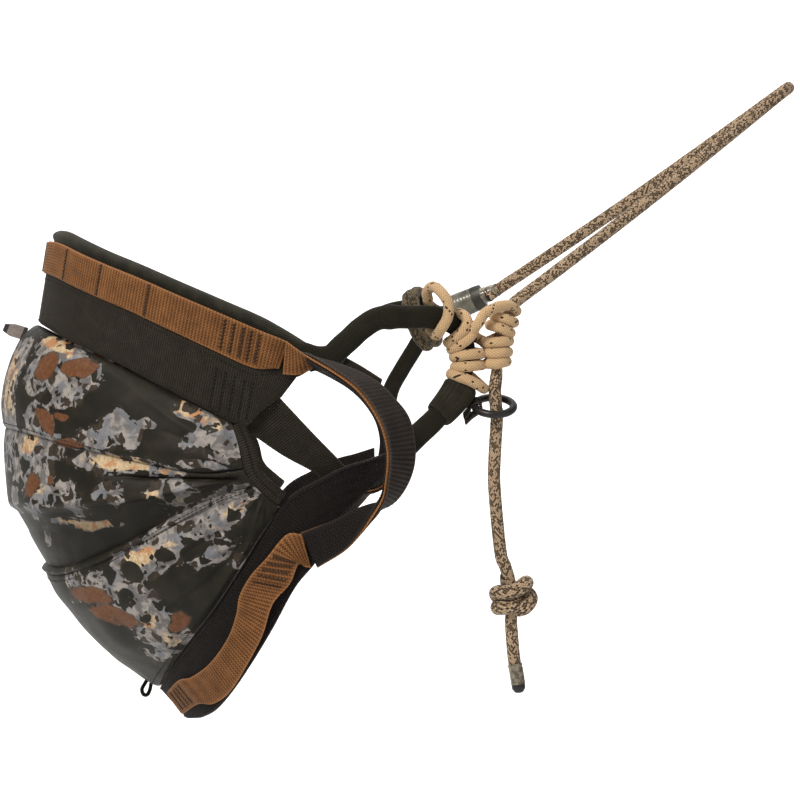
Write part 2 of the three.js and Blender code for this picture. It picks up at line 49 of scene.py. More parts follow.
# ---------------------------------------------------------------- tables, mm
BELT_TOP = [
    (-3.5, -0, 37.4), (-0.4, -27.5, 36.3), (8.8, -54, 33.4), (23.8, -78.3, 25.7), (44, -99.7, 16),
    (68.6, -117.2, 5.7), (96.7, -130.3, -6.7), (127.1, -138.3, -19.7), (158.8, -141, -33.3), (179.2, -139, -44.2),
    (199.7, -135, -57.2),
]
BELT_LOW = [
    (-15, -0, -34.7), (-12, -28.3, -36.3), (-2.9, -55.5, -41.3), (11.7, -80.6, -49.3), (31.4, -102.5, -58.2),
    (55.5, -120.6, -69.3), (82.9, -134, -83.6), (112.6, -142.2, -98.8), (143.6, -145, -113.4), (158.8, -144, -102.5),
    (172.6, -140, -93.1),
]
SEAT = [
[
    (-15, -0, -34.7), (-12, -28.3, -36.3), (-2.9, -55.5, -41.3), (11.7, -80.6, -49.3), (31.4, -102.5, -58.2),
    (55.5, -120.6, -69.3), (82.9, -134, -83.6), (112.6, -142.2, -98.8), (143.6, -145, -113.4),
],
[
    (-27.3, -0, -50.2), (-24, -28.9, -51.5), (-14, -56.6, -55.4), (2.1, -82.2, -62.1), (23.8, -104.7, -70.2),
    (50.3, -123.1, -79.7), (80.4, -136.7, -92.3), (113.2, -145.2, -106.4), (147.2, -148, -121.4),
],
[
    (-38.1, -0, -82.7), (-34.4, -29.5, -83.4), (-23.6, -57.8, -85.6), (-6.1, -83.9, -89.5), (17.5, -106.8, -95.1),
    (46.2, -125.6, -102.5), (79, -139.5, -112.1), (114.6, -148.1, -122.3), (151.6, -151, -130.8),
],
[
    (-41.2, -0, -115.8), (-37.4, -29.8, -116.3), (-26.2, -58.6, -118.4), (-8.1, -85, -122.6), (16.4, -108.2, -129),
    (46.1, -127.2, -135.5), (80.1, -141.4, -142.5), (116.9, -150.1, -147.7), (155.3, -153, -143),
],
[
    (-32.7, -0, -171.4), (-29, -29.7, -171.1), (-18.1, -58.2, -170.7), (-0.4, -84.4, -170.5), (23.4, -107.5, -169),
    (52.4, -126.4, -166.7), (85.6, -140.4, -161.9), (121.5, -149.1, -154.9), (158.9, -152, -150.3),
],
[
    (-10.4, -0, -222.9), (-7.1, -29.5, -223.5), (2.8, -57.8, -223.5), (18.9, -83.9, -219.2), (40.4, -106.8, -209.7),
    (66.8, -125.6, -196.3), (96.8, -139.5, -179.6), (129.3, -148.1, -164.5), (163.2, -151, -155.4),
],
[
    (31.2, -0, -275.8), (33.9, -29.1, -274.1), (41.8, -57, -269.3), (54.6, -82.8, -261.4), (71.8, -105.4, -248.6),
    (92.8, -123.9, -230.2), (116.7, -137.7, -206.8), (142.7, -146.1, -182.1), (169.7, -149, -160.6),
],
[
    (78.3, -0, -317.2), (80.2, -28.3, -313.2), (85.8, -55.5, -302.4), (94.9, -80.6, -287.5), (107.2, -102.5, -270.5),
    (122.2, -120.6, -250.3), (139.2, -134, -224.4), (157.7, -142.2, -194.4), (177, -145, -165.8),
],
]
LEG_TOP = [
    (78.3, -0, -317.2), (80.2, -28.3, -313.2), (85.8, -55.5, -302.4), (94.9, -80.6, -287.5), (107.2, -102.5, -270.5),
    (122.2, -120.6, -250.3), (139.2, -134, -224.4), (157.7, -142.2, -194.4), (177, -145, -165.8),
    (199.6, -142, -152.1), (219.4, -136, -142.8), (235, -129, -138.5), (250, -121, -133.6),
]
LEG_LOW = [
    (99.2, -0, -340.1), (100.8, -27.9, -339.1), (105.6, -54.7, -336.6), (113.4, -79.4, -332.7),
    (123.9, -101.1, -324.4), (136.7, -118.9, -308.3), (151.3, -132.1, -286.1), (167.1, -140.3, -259.9),
    (183.5, -143, -230.7), (199.6, -142, -211.1), (215, -137, -182.9), (232, -130, -165.7), (250, -121, -151.3),
]
GEAR_IN = [
    (86.2, -45.6, -316.7), (96.1, -77, -304.7), (106.1, -94.5, -300.6), (120.6, -116.5, -288.2),
    (133.7, -132.7, -268.8), (140, -139.6, -251.2), (142.6, -140.8, -236.9), (150.5, -142.2, -222.4),
    (161.6, -145.1, -209.9), (176.3, -146.4, -192.6), (187.9, -146.6, -191.9),
]
GEAR_OUT = [
    (98.2, -49.1, -333.1), (111.3, -90.3, -321.2), (122.8, -107.3, -319.2), (135.5, -124.1, -308.3),
    (149.1, -138.6, -285.6), (159.4, -145.8, -264.8), (166.6, -147.5, -242.8), (179.1, -146.6, -228.1),
    (185, -146.6, -214.4), (190.1, -146.6, -215.9), (194.4, -146.6, -216.6),
]
LINE_E1 = [
    (176.3, -147, -52.4), (184.2, -153, -58.3), (194.3, -158, -64.9), (210, -166, -74.3), (225, -172, -85.2),
    (235.6, -176, -97.4), (244.2, -178, -112.4), (248.5, -178, -127.5), (249.2, -177, -139.7), (247.9, -174, -153.4),
    (245.2, -170, -166.5), (234.6, -163, -184), (220.3, -157, -201.6), (198.7, -154, -215.5),
]
LINE_E2 = [
    (174.1, -148, -75.6), (186.4, -148, -75.6), (201.7, -143, -68.3), (222.7, -148, -73.4), (241.4, -155, -82.9),
    (253.5, -160, -94.5), (263.6, -162, -107.5), (267.9, -162, -124.9), (267.3, -160, -142.3), (260.9, -156, -158.3),
    (250.3, -151, -169.3), (230.6, -152, -173.6), (211.7, -153, -181.5), (187.1, -154, -190.8),
]
NEAR_LOOP = [
    (209.3, -130, -62.3), (216.6, -129, -55.6), (223.3, -128, -49.7), (232.2, -125, -41.6), (245.6, -120, -34.1),
    (268.1, -112, -33.1), (289.3, -105, -33.6), (303, -99, -39.3), (310.7, -96, -52), (311.5, -95, -66.9),
    (307.7, -96, -82.6), (299.4, -98, -95.3), (286.4, -103, -109.4), (272.7, -108, -122), (259.3, -111, -135.2),
]
FAR_LOOP = [
    (217.6, 131, -55.7), (229.9, 128, -45.9), (241.3, 122, -33.6), (258.3, 115, -23.1), (275.1, 106, -19.3),
    (288.6, 98, -20.3), (294.2, 95, -27.8), (290.2, 96, -37.5), (282.1, 99, -52.1), (271.8, 104, -69.2),
    (263, 110, -86.3), (260.6, 112, -104.4), (263.1, 112, -124), (265.5, 112, -137.1),
]
RISER_A = [
    (174.1, -137, -95.2), (196.1, -132, -118.7), (219.6, -126, -143), (224.8, -124, -150.4),
]
RISER_B = [
    (147.9, -137, -117.1), (173.4, -132, -134.8), (198.3, -127, -148.8), (202.8, -125, -157),
]
FRISER_A = [
    (218.6, 140, -54.7), (238.2, 131, -65.6), (256, 120, -77.2),
]
FRISER_B = [
    (213.6, 140, -68), (233.3, 131, -79.7), (251.9, 120, -91.2),
]
APEX = (570.3, 0, 150.3)
ROPE_NEAR_END = [
    (347.4, -87, -21.7), (340.4, -90, -33.1), (337.2, -92, -47.4), (335.7, -93, -60.9), (334.8, -94, -73.6),
]
TAIL = [
    (334.8, -94, -73.6), (332.5, -94.5, -87), (333.3, -95, -100.5), (334, -95, -105.7), (332.5, -95, -131.9),
    (331.8, -95, -154.3), (334, -95, -184.2), (337, -95, -210.4), (341.5, -95, -223.8),
]
KNOT_AT = (346.7, -95, -241)
TAIL_END = [
    (344.5, -95, -257.5), (345.2, -95, -270.9), (346.7, -95, -287.4), (349, -95, -300.9), (350.5, -95, -311.3),
]
FAR_ROPE = [
    (307, 92, -21.3), (315, 89, -19), (332.5, 84, -11.8), (348.3, 78, -5.1),
]
RING_AT = (331.8, -95, -99)
LABEL_AT = (-32.5, -8, -41)
BTAB_AT = (67.5, -6, -319.5)
FLINE_E1 = [
    (176.3, 147, -52.4), (184.7, 153, -57.8), (196.2, 158, -64), (214, 166, -73), (231.1, 172, -83.6),
    (243.5, 176, -95.5), (253.1, 178, -110.4), (257.4, 178, -125.5), (257.1, 177, -137.8), (254, 174, -151.8),
    (249.2, 170, -165.2), (236.5, 163, -183.1), (220.8, 157, -201.1), (198.7, 154, -215.5),
]
FLINE_E2 = [
    (174.1, 148, -75.6), (186.9, 148, -75.1), (203.6, 143, -67.4), (226.7, 148, -72.1), (247.5, 155, -81.3),
    (261.4, 160, -92.6), (272.5, 162, -105.5), (276.8, 162, -122.9), (275.2, 160, -140.4), (267, 156, -156.7),
    (254.3, 151, -168), (232.5, 152, -172.7), (212.2, 153, -181), (187.1, 154, -190.8),
]
FAR_HITCH = [
    (283.4, 100, -32.3), (287.8, 97.5, -30.1), (292.2, 95, -28),
]
LOOPS_PATH = [
    (282.33, -95.5, -19.87), (281.4, -99, -14.04), (285.54, -105, -10.17), (291.06, -112.5, -14.54),
    (296.1, -115, -22.76), (296.1, -115, -32.38), (292.11, -113.5, -40.48), (287.77, -105, -46.21),
    (283.8, -96, -39.29), (289.14, -94, -34), (296.63, -94, -34), (302.52, -95.5, -31.79), (305.35, -98, -30),
    (306.18, -101.9, -30.61), (309.05, -105.21, -32.13), (310.95, -107.42, -36.6), (308.58, -108.2, -42.01),
    (304.4, -107.42, -46.22), (300.45, -105.21, -49.15), (297.87, -101.9, -51.03), (297.13, -98, -51.63),
    (298.2, -93.67, -51.12), (300.69, -90.43, -49.82), (304.26, -88.26, -47.94), (308.35, -87.5, -45.74),
    (312.01, -88.26, -43.05), (315.01, -90.43, -40.81), (316.88, -93.67, -39.36), (317.35, -97.5, -38.92),
    (316.91, -100.9, -39.99), (316.12, -104.21, -42.88), (313.88, -106.42, -46.45), (310.27, -107.2, -50.02),
    (306.27, -106.42, -52.98), (302.77, -104.21, -55.15), (300.45, -100.9, -56.43), (299.81, -97, -56.84),
    (300.96, -92.33, -56.84), (303.6, -89.21, -57.03), (307.4, -87.13, -57.37), (311.78, -86.4, -57.83),
    (316.03, -87.13, -58.53), (319.52, -89.21, -59.15), (321.73, -92.33, -59.59), (322.32, -96, -59.79),
    (321.25, -99.83, -59.91), (318.78, -103.07, -60.13), (315.28, -105.24, -60.42), (311.28, -106, -60.75),
    (307.44, -105.24, -61.43), (304.28, -103.07, -61.99), (302.28, -99.83, -62.33), (301.74, -96, -62.42),
    (302.79, -91.83, -62.57), (305.23, -88.71, -63.17), (308.72, -86.63, -64.09), (312.73, -85.9, -65.21),
    (316.63, -86.63, -66.38), (319.83, -88.71, -67.39), (321.84, -91.83, -68.09), (322.35, -95.5, -68.37),
    (321.32, -99.33, -68.51), (318.95, -102.57, -68.81), (315.61, -104.74, -69.22), (311.79, -105.5, -69.63),
    (308.05, -104.74, -69.76), (304.98, -102.57, -69.85), (303.03, -99.33, -69.89), (302.52, -95.5, -69.87),
    (303.63, -91.9, -70.36), (306.36, -88.85, -71.84), (310.28, -86.82, -74.09), (314.75, -86.1, -76.83),
    (318.59, -86.82, -80.3), (321.74, -88.85, -83.25), (323.72, -91.9, -85.22), (324.22, -95.5, -85.93),
    (323.05, -99.33, -85.43), (320.27, -102.57, -84), (316.31, -104.74, -81.84), (311.66, -105.5, -79.55),
    (306.83, -104.74, -77.87), (302.83, -102.57, -76.44), (300.27, -99.33, -75.47), (299.53, -95.5, -75.1),
    (300.37, -91.9, -74.52), (302.34, -88.85, -72.91), (305.13, -86.82, -70.52), (308, -86.1, -67.44),
    (310.4, -86.82, -64.03), (312.33, -88.85, -61.16),
]
WRAPS_PATH = [
    (310.58, -98, -48.27), (313.77, -106, -43.24), (319.22, -110, -37.39), (322.75, -108.5, -31.41),
    (329, -105.5, -27.15), (336.11, -101.5, -24.47), (343.39, -96.5, -24.3), (349.06, -88, -27.76),
    (348.54, -86.71, -27.88), (347, -83.92, -28.27), (344.48, -82.05, -28.92), (341.38, -81.4, -29.74),
    (338.19, -82.05, -30.65), (335.38, -83.92, -31.47), (333.39, -86.71, -32.06), (332.51, -90, -32.34),
    (332.78, -93.94, -32.54), (334.19, -96.86, -32.88), (336.48, -98.81, -33.32), (339.28, -99.5, -33.89),
    (342.05, -98.81, -34.94), (344.51, -96.86, -35.8), (346.29, -93.94, -36.33), (347.12, -90.5, -36.45),
    (346.62, -88.21, -36.42), (344.88, -85.42, -36.43), (342.09, -83.55, -36.5), (338.66, -82.9, -36.64),
    (335.17, -83.55, -37.23), (332.11, -85.42, -37.77), (329.95, -88.21, -38.17), (329.02, -91.5, -38.37),
    (329.32, -95.44, -38.66), (330.82, -98.36, -39.25), (333.23, -100.31, -40.06), (336.17, -101, -41.04),
    (339.08, -100.31, -42.38), (341.65, -98.36, -43.48), (343.51, -95.44, -44.17), (344.37, -92, -44.36),
    (343.88, -88.63, -44.52), (341.95, -85.78, -45.15), (338.86, -83.87, -46.14), (335.11, -83.2, -47.42),
    (331.38, -83.87, -49.06), (328.12, -85.78, -50.49), (325.83, -88.63, -51.47), (324.86, -92, -51.86),
    (325.26, -96.02, -51.91), (327.03, -99.01, -51.89), (329.86, -101, -51.79), (333.31, -101.7, -51.61),
    (336.86, -101, -51.19), (339.99, -99.01, -50.81), (342.21, -96.02, -50.51), (343.2, -92.5, -50.36),
    (342.78, -89.63, -50.63), (341.16, -86.78, -51.5), (338.52, -84.87, -52.85), (335.29, -84.2, -54.48),
    (332.03, -84.87, -56.29), (329.19, -86.78, -57.86), (327.17, -89.63, -58.94), (326.28, -93, -59.36),
    (326.64, -96.52, -59.45), (328.16, -99.51, -59.58), (330.63, -101.5, -59.74), (333.66, -102.2, -59.85),
    (336.77, -101.5, -59.42), (339.53, -99.51, -59.03), (341.51, -96.52, -58.74), (342.41, -93, -58.6),
    (342.03, -90.13, -58.86), (340.52, -87.28, -59.68), (338.05, -85.37, -60.96), (335.02, -84.7, -62.49),
    (332, -85.37, -64.26), (329.35, -87.28, -65.79), (327.46, -90.13, -66.83), (326.62, -93.5, -67.22),
    (326.92, -97.02, -67.3), (328.3, -100.01, -67.42), (330.55, -102, -67.57), (333.31, -102.7, -67.64),
    (336.11, -102, -66.94), (338.61, -100.01, -66.33), (340.41, -97.02, -65.9), (341.24, -93.5, -65.72),
    (340.58, -90.63, -64.87), (338.25, -87.78, -62.52), (334.56, -85.87, -59.03), (329.98, -85.2, -55.07),
    (325.27, -85.87, -51.16), (320.7, -87.78, -48.61), (317.41, -90.63, -47.14), (315.21, -96, -48.22),
]
ROPE_IN = [
    (347.41, -87, -21.72), (340.4, -90, -33.08), (336.11, -92, -47.36), (334.38, -93, -60.85), (333.93, -94, -73.58),
]

# ----------------------------------------------------------------------------
# camera, lights, world
# ----------------------------------------------------------------------------
AZ = math.radians(-2.5)
DIST = 2.2
TARGET = Vector((0.26558, 0.0, -0.094517))
cam_data = bpy.data.cameras.new("camera")
cam_data.lens = 126.93
cam_data.sensor_width = 36.0
cam_data.clip_end = 60.0
cam = bpy.data.objects.new("camera", cam_data)
scene.collection.objects.link(cam)
cam.location = TARGET + Vector((math.sin(AZ), -math.cos(AZ), 0.0)) * DIST
cam.rotation_euler = (math.radians(90.0), 0.0, AZ)
scene.camera = cam
scene.view_settings.view_transform = "Standard"


def area(name, at, size, watts, colour, look=(0.2, 0.0, -0.12)):
    d = bpy.data.lights.new(name, "AREA")
    d.shape = "RECTANGLE"
    d.size, d.size_y = size
    d.energy = watts
    d.color = colour
    o = bpy.data.objects.new(name, d)
    scene.collection.objects.link(o)
    o.location = at
    o.rotation_euler = (Vector(look) - Vector(at)).to_track_quat("-Z", "Y").to_euler()
    return o


area("key", (-0.85, -1.55, 1.35), (0.6, 0.5), 36.0, (1.0, 0.93, 0.84))
area("fill", (1.5, -1.7, 0.25), (1.0, 1.0), 4.0, (1.0, 0.94, 0.88))
area("top", (0.3, 0.3, 1.6), (0.9, 0.9), 12.0, (1.0, 0.97, 0.93))
area("backdrop_light", (0.3, 1.6, 1.9), (3.2, 1.0), 118.0, (1.0, 1.0, 1.0), look=(0.3, 3.6, 0.2))

world = bpy.data.worlds.new("studio")
scene.world = world
world.use_nodes = True
world.node_tree.nodes["Background"].inputs[0].default_value = (1.0, 0.985, 0.965, 1)
world.node_tree.nodes["Background"].inputs[1].default_value = 0.24


# ----------------------------------------------------------------------------
# node helpers
# ----------------------------------------------------------------------------
class Tree:
    def __init__(self, name, rough=0.8, base=(0.5, 0.5, 0.5), spec=0.35, sheen=0.0, sheen_rough=0.4, coat=0.0, metallic=0.0):
        self.mat = bpy.data.materials.new(name)
        self.mat.use_nodes = True
        self.t = self.mat.node_tree
        self.p = self.t.nodes["Principled BSDF"]
        self.p.inputs["Base Color"].default_value = (*base, 1)
        self.p.inputs["Roughness"].default_value = rough
        self.p.inputs["Specular IOR Level"].default_value = spec
        self.p.inputs["Sheen Weight"].default_value = sheen
        self.p.inputs["Sheen Roughness"].default_value = sheen_rough
        self.p.inputs["Coat Weight"].default_value = coat
        self.p.inputs["Metallic"].default_value = metallic
        self.mat.diffuse_color = (*base, 1)

    def node(self, kind, **inputs):
        n = self.t.nodes.new(kind)
        for k, v in inputs.items():
            self.put(n, k, v)
        return n

    def put(self, n, k, v):
        s = n.inputs[k] if not isinstance(k, int) else n.inputs[k]
        if isinstance(v, bpy.types.NodeSocket):
            self.t.links.new(v, s)
        else:
            s.default_value = v

    def m(self, op, a, b=0.0, c=0.0, clamp=False):
        n = self.t.nodes.new("ShaderNodeMath")
        n.operation = op
        n.use_clamp = clamp
        for i, v in enumerate((a, b, c)):
            if isinstance(v, bpy.types.NodeSocket):
                self.t.links.new(v, n.inputs[i])
            else:
                n.inputs[i].default_value = v
        return n.outputs[0]

    def mix(self, f, a, b, blend="MIX"):
        n = self.t.nodes.new("ShaderNodeMix")
        n.data_type = "RGBA"
        n.blend_type = blend
        n.clamp_factor = True
        for s, v in ((n.inputs[0], f), (n.inputs[6], a), (n.inputs[7], b)):
            if isinstance(v, bpy.types.NodeSocket):
                self.t.links.new(v, s)
            elif isinstance(v, (int, float)):
                s.default_value = v
            else:
                s.default_value = (*v, 1)
        return n.outputs[2]

    def step(self, x, lo, hi):
        n = self.t.nodes.new("ShaderNodeMapRange")
        n.interpolation_type = "SMOOTHSTEP"
        self.put(n, 0, x)
        n.inputs[1].default_value = lo
        n.inputs[2].default_value = hi
        n.inputs[3].default_value = 0.0
        n.inputs[4].default_value = 1.0
        return n.outputs[0]

    def uv(self):
        n = self.t.nodes.new("ShaderNodeUVMap")
        n.uv_map = "UVMap"
        s = self.t.nodes.new("ShaderNodeSeparateXYZ")
        self.t.links.new(n.outputs[0], s.inputs[0])
        return n.outputs[0], s.outputs[0], s.outputs[1]

    def obj(self):
        return self.t.nodes.new("ShaderNodeTexCoord").outputs["Object"]

    def noise(self, vec, scale, detail=3.0, rough=0.5, dims="3D", distortion=0.0):
        n = self.t.nodes.new("ShaderNodeTexNoise")
        n.noise_dimensions = dims
        self.put(n, "Vector", vec)
        n.inputs["Scale"].default_value = scale
        n.inputs["Detail"].default_value = detail
        n.inputs["Roughness"].default_value = rough
        n.inputs["Distortion"].default_value = distortion
        return n.outputs[0]

    def voronoi(self, vec, scale, feature="F1", rand=1.0, out=0, smooth=None):
        n = self.t.nodes.new("ShaderNodeTexVoronoi")
        n.feature = feature
        self.put(n, "Vector", vec)
        n.inputs["Scale"].default_value = scale
        n.inputs["Randomness"].default_value = rand
        if smooth is not None and feature == "SMOOTH_F1":
            n.inputs["Smoothness"].default_value = smooth
        return n.outputs[out]

    def white(self, x, y, z=0.0):
        c = self.t.nodes.new("ShaderNodeCombineXYZ")
        for i, v in enumerate((x, y, z)):
            self.put(c, i, v)
        n = self.t.nodes.new("ShaderNodeTexWhiteNoise")
        n.noise_dimensions = "3D"
        self.t.links.new(c.outputs[0], n.inputs["Vector"])
        return n.outputs["Value"]

    def vec(self, x, y, z=0.0):
        c = self.t.nodes.new("ShaderNodeCombineXYZ")
        for i, v in enumerate((x, y, z)):
            self.put(c, i, v)
        return c.outputs[0]

    def attr(self, name, out=2):
        n = self.t.nodes.new("ShaderNodeAttribute")
        n.attribute_name = name
        return n.outputs[out]

    def bump(self, h, dist, strength=1.0, normal=None):
        n = self.t.nodes.new("ShaderNodeBump")
        n.inputs["Strength"].default_value = strength
        n.inputs["Distance"].default_value = dist
        self.t.links.new(h, n.inputs["Height"])
        if normal is not None:
            self.t.links.new(normal, n.inputs["Normal"])
        return n.outputs[0]

    def out(self, colour=None, rough=None, normal=None):
        if colour is not None:
            self.t.links.new(colour, self.p.inputs["Base Color"])
        if rough is not None:
            self.t.links.new(rough, self.p.inputs["Roughness"])
        if normal is not None:
            self.t.links.new(normal, self.p.inputs["Normal"])
        return self.mat


def webbing(name, light, dark, pu=0.0021, pv=0.0017, rough=0.72, sheen=0.15, chevron=False, fleck=0.25, depth=0.00035, selv=None):
    """Woven nylon: u runs along the webbing and v across it, both in metres."""
    T = Tree(name, rough=rough, base=light, spec=0.20, sheen=sheen, sheen_rough=0.35)
    vec, u, v = T.uv()
    if chevron:
        zig = T.m("PINGPONG", v, pv * 2)
        uu = T.m("ADD", u, T.m("MULTIPLY", zig, 0.9))
    else:
        uu = u
    a = T.m("SINE", T.m("MULTIPLY", uu, 2 * math.pi / pu))
    b = T.m("SINE", T.m("MULTIPLY", v, 2 * math.pi / pv))
    over = T.m("MULTIPLY", a, b)                                  # over one, under one
    fine = T.m("SINE", T.m("MULTIPLY", v, 2 * math.pi / (pv * 0.5)))
    h = T.m("ADD", T.m("MULTIPLY", over, 0.35), T.m("MULTIPLY_ADD", a, 0.30, 0.5))
    h = T.m("ADD", h, T.m("MULTIPLY", fine, 0.08))
    n1 = T.noise(vec, 90.0, 3.0, 0.6)
    n2 = T.noise(vec, 900.0, 2.0, 0.6)
    # painted shade: the weave's valleys are painted darker, mixed with real random flecks and mottling
    shade = T.m("ADD", T.m("MULTIPLY", h, 0.62), T.m("MULTIPLY", T.m("SUBTRACT", n2, 0.5), fleck * 1.6))
    shade = T.m("ADD", shade, T.m("MULTIPLY", T.m("SUBTRACT", n1, 0.5), 0.55))
    f = T.step(shade, -0.05, 0.85)
    col = T.mix(f, dark, light)
    edge = T.attr("wear")
    col = T.mix(T.m("MULTIPLY", edge, 0.55), col, tuple(min(1.0, c * 1.7 + 0.015) for c in light))
    # painted shade: the crease_shade attribute darkens creases and recesses where shade falls
    crease_shade = T.attr("crease_shade")
    col = T.mix(T.m("MULTIPLY", crease_shade, 0.8), col, tuple(c * 0.45 for c in dark))
    r = T.m("ADD", rough - 0.08, T.m("MULTIPLY", n1, 0.18))
    return T.out(col, r, T.bump(h, depth, 0.9))


def ropemat(name, colours, n=8, pitch=0.030, dark_share=0.42, bump=0.0004, warm=0.0, streak=0.22):
    """Braided sheath: u runs along the rope in metres, v is the turn round it, 0 to 1."""
    T = Tree(name, rough=0.82, base=colours[0], spec=0.25, sheen=0.25, sheen_rough=0.5)
    vec, u, v = T.uv()
    s = T.m("DIVIDE", u, pitch)
    A = T.m("MULTIPLY", T.m("ADD", v, s), float(n))
    B = T.m("MULTIPLY", T.m("SUBTRACT", v, s), float(n))
    fa, fb = T.m("FLOOR", A), T.m("FLOOR", B)
    turn = T.m("FLOOR", T.m("DIVIDE", T.m("SUBTRACT", fa, fb), 2.0 * n))
    ia, ib = T.m("FLOORED_MODULO", fa, float(n)), T.m("FLOORED_MODULO", fb, float(n))
    cell = T.white(ia, ib, turn)
    strand = T.white(ia, 17.0, 3.0)
    strand2 = T.white(ib, 41.0, 5.0)
    ra = T.m("ABSOLUTE", T.m("SINE", T.m("MULTIPLY", A, math.pi)))
    rb = T.m("ABSOLUTE", T.m("SINE", T.m("MULTIPLY", B, math.pi)))
    h = T.m("MULTIPLY", ra, rb)
    n1 = T.noise(T.obj(), 260.0, 3.0, 0.6)
    n3 = T.noise(T.obj(), 900.0, 2.0, 0.6)
    mixv = T.m("ADD", T.m("MULTIPLY", cell, 1.0 - streak), T.m("MULTIPLY", T.m("ADD", strand, strand2), streak * 0.5))
    mixv = T.m("ADD", mixv, T.m("MULTIPLY", T.m("SUBTRACT", n1, 0.5), 1.3))
    f = T.step(mixv, dark_share - 0.03, dark_share + 0.03)
    tone = T.mix(cell, colours[0], colours[1])
    tone = T.mix(T.m("MULTIPLY", n3, 0.5), tone, colours[2])
    col = T.mix(f, colours[3], tone)
    # painted shade: the valleys between the braid's strands are painted darker
    col = T.mix(T.m("SUBTRACT", 1.0, T.step(h, 0.0, 0.55)), col, tuple(c * 0.45 for c in colours[0]))
    return T.out(col, None, T.bump(h, bump, 0.9))


def cordmat(name, light, mid, fleck, n=10, pitch=0.026, share=0.06):
    T = Tree(name, rough=0.8, base=light, spec=0.25, sheen=0.3, sheen_rough=0.5)
    vec, u, v = T.uv()
    s = T.m("DIVIDE", u, pitch)
    A = T.m("MULTIPLY", T.m("ADD", v, s), float(n))
    B = T.m("MULTIPLY", T.m("SUBTRACT", v, s), float(n))
    fa, fb = T.m("FLOOR", A), T.m("FLOOR", B)
    turn = T.m("FLOOR", T.m("DIVIDE", T.m("SUBTRACT", fa, fb), 2.0 * n))
    ia, ib = T.m("FLOORED_MODULO", fa, float(n)), T.m("FLOORED_MODULO", fb, float(n))
    cell = T.white(ia, ib, turn)
    ra = T.m("ABSOLUTE", T.m("SINE", T.m("MULTIPLY", A, math.pi)))
    rb = T.m("ABSOLUTE", T.m("SINE", T.m("MULTIPLY", B, math.pi)))
    h = T.m("MULTIPLY", ra, rb)
    n1 = T.noise(T.obj(), 120.0, 3.0, 0.6)
    tracer = T.m("LESS_THAN", T.white(ia, 7.0, 1.0), 0.13)
    dark = T.m("MULTIPLY", tracer, T.m("LESS_THAN", T.white(fa, fb, 2.0), 0.34))
    dark = T.m("MAXIMUM", dark, T.m("LESS_THAN", cell, share * 0.4))
    # painted shade and highlight: strand crowns are painted lighter than the valleys between them
    tone = T.mix(T.step(h, 0.0, 0.7), mid, light)
    tone = T.mix(T.m("MULTIPLY", n1, 0.6), tone, mid)
    col = T.mix(dark, tone, fleck)
    return T.out(col, None, T.bump(h, 0.0005, 0.9))


def thread(name, colour):
    T = Tree(name, rough=0.6, base=colour, spec=0.3, sheen=0.1)
    n = T.noise(T.obj(), 1500.0, 2.0)
    return T.out(T.mix(n, tuple(c * 0.6 for c in colour), tuple(min(1, c * 1.3) for c in colour)))


BROWN = webbing("brown_webbing", (0.37, 0.165, 0.058), (0.070, 0.026, 0.009), pu=0.0026, pv=0.0021, sheen=0.1, fleck=0.22, depth=0.0006)
DARK = webbing("dark_webbing", (0.052, 0.044, 0.032), (0.008, 0.007, 0.005), pu=0.0019, pv=0.0017, sheen=0.04, depth=0.0005)
RIB = webbing("ribbed_webbing", (0.062, 0.049, 0.044), (0.009, 0.007, 0.006), pu=0.0032, pv=0.0012, sheen=0.04, depth=0.0004)
RIBL = webbing("sleeve_webbing", (0.060, 0.052, 0.034), (0.010, 0.009, 0.006), pu=0.0012, pv=0.0026, sheen=0.05, depth=0.0004)
SPECK = webbing("seat_webbing", (0.022, 0.018, 0.017), (0.004, 0.003, 0.003), pu=0.0026, pv=0.0019, chevron=True, sheen=0.03, fleck=0.35, depth=0.0005)
TUBEWEB = webbing("tubular_webbing", (0.030, 0.027, 0.015), (0.007, 0.007, 0.004), pu=0.0016, pv=0.0016, sheen=0.06)
ROPE = ropemat("bridge_rope", [(0.62, 0.43, 0.27), (0.80, 0.62, 0.44), (0.36, 0.24, 0.13), (0.020, 0.013, 0.008)], n=17, pitch=0.038, dark_share=0.50, streak=0.16)
# painted shade: a darker copy of the bridge rope's colours for the far-side rope, which lies in shade
ROPE_SHADED = ropemat("bridge_rope_shade", [(0.15, 0.11, 0.050), (0.22, 0.165, 0.080), (0.09, 0.065, 0.03), (0.012, 0.009, 0.005)], n=14, pitch=0.044, dark_share=0.47)
CORD = cordmat("hitch_cord", (0.93, 0.68, 0.42), (0.58, 0.37, 0.18), (0.030, 0.018, 0.012), n=12, pitch=0.024)
STITCH = thread("black_thread", (0.016, 0.014, 0.012))
BTHREAD = thread("brown_thread", (0.045, 0.024, 0.012))


# ----------------------------------------------------------------------------
# curve and surface maths, mm
# ----------------------------------------------------------------------------
def cr(P, t):
    P = np.asarray(P, float)
    n = len(P) - 1
    t = np.clip(np.asarray(t, float), 0, n)
    i = np.minimum(np.floor(t).astype(int), n - 1)
    f = (t - i)[..., None]
    E = np.vstack([2 * P[:1] - P[1:2], P, 2 * P[-1:] - P[-2:-1]])
    p0, p1, p2, p3 = E[i], E[i + 1], E[i + 2], E[i + 3]
    return 0.5 * (2 * p1 + (p2 - p0) * f + (2 * p0 - 5 * p1 + 4 * p2 - p3) * f * f + (3 * p1 - p0 - 3 * p2 + p3) * f ** 3)


def both(row):
    row = np.asarray(row, float)
    return np.vstack([(row[1:] * (1, -1, 1))[::-1], row])


def strip(top, low):
    A, B, n = both(top), both(low), len(top) - 1

    def f(a, t):
        a, t = np.broadcast_arrays(np.asarray(a, float), np.asarray(t, float))
        p, q = cr(A, a + n), cr(B, a + n)
        return p + (q - p) * t[..., None]
    return f


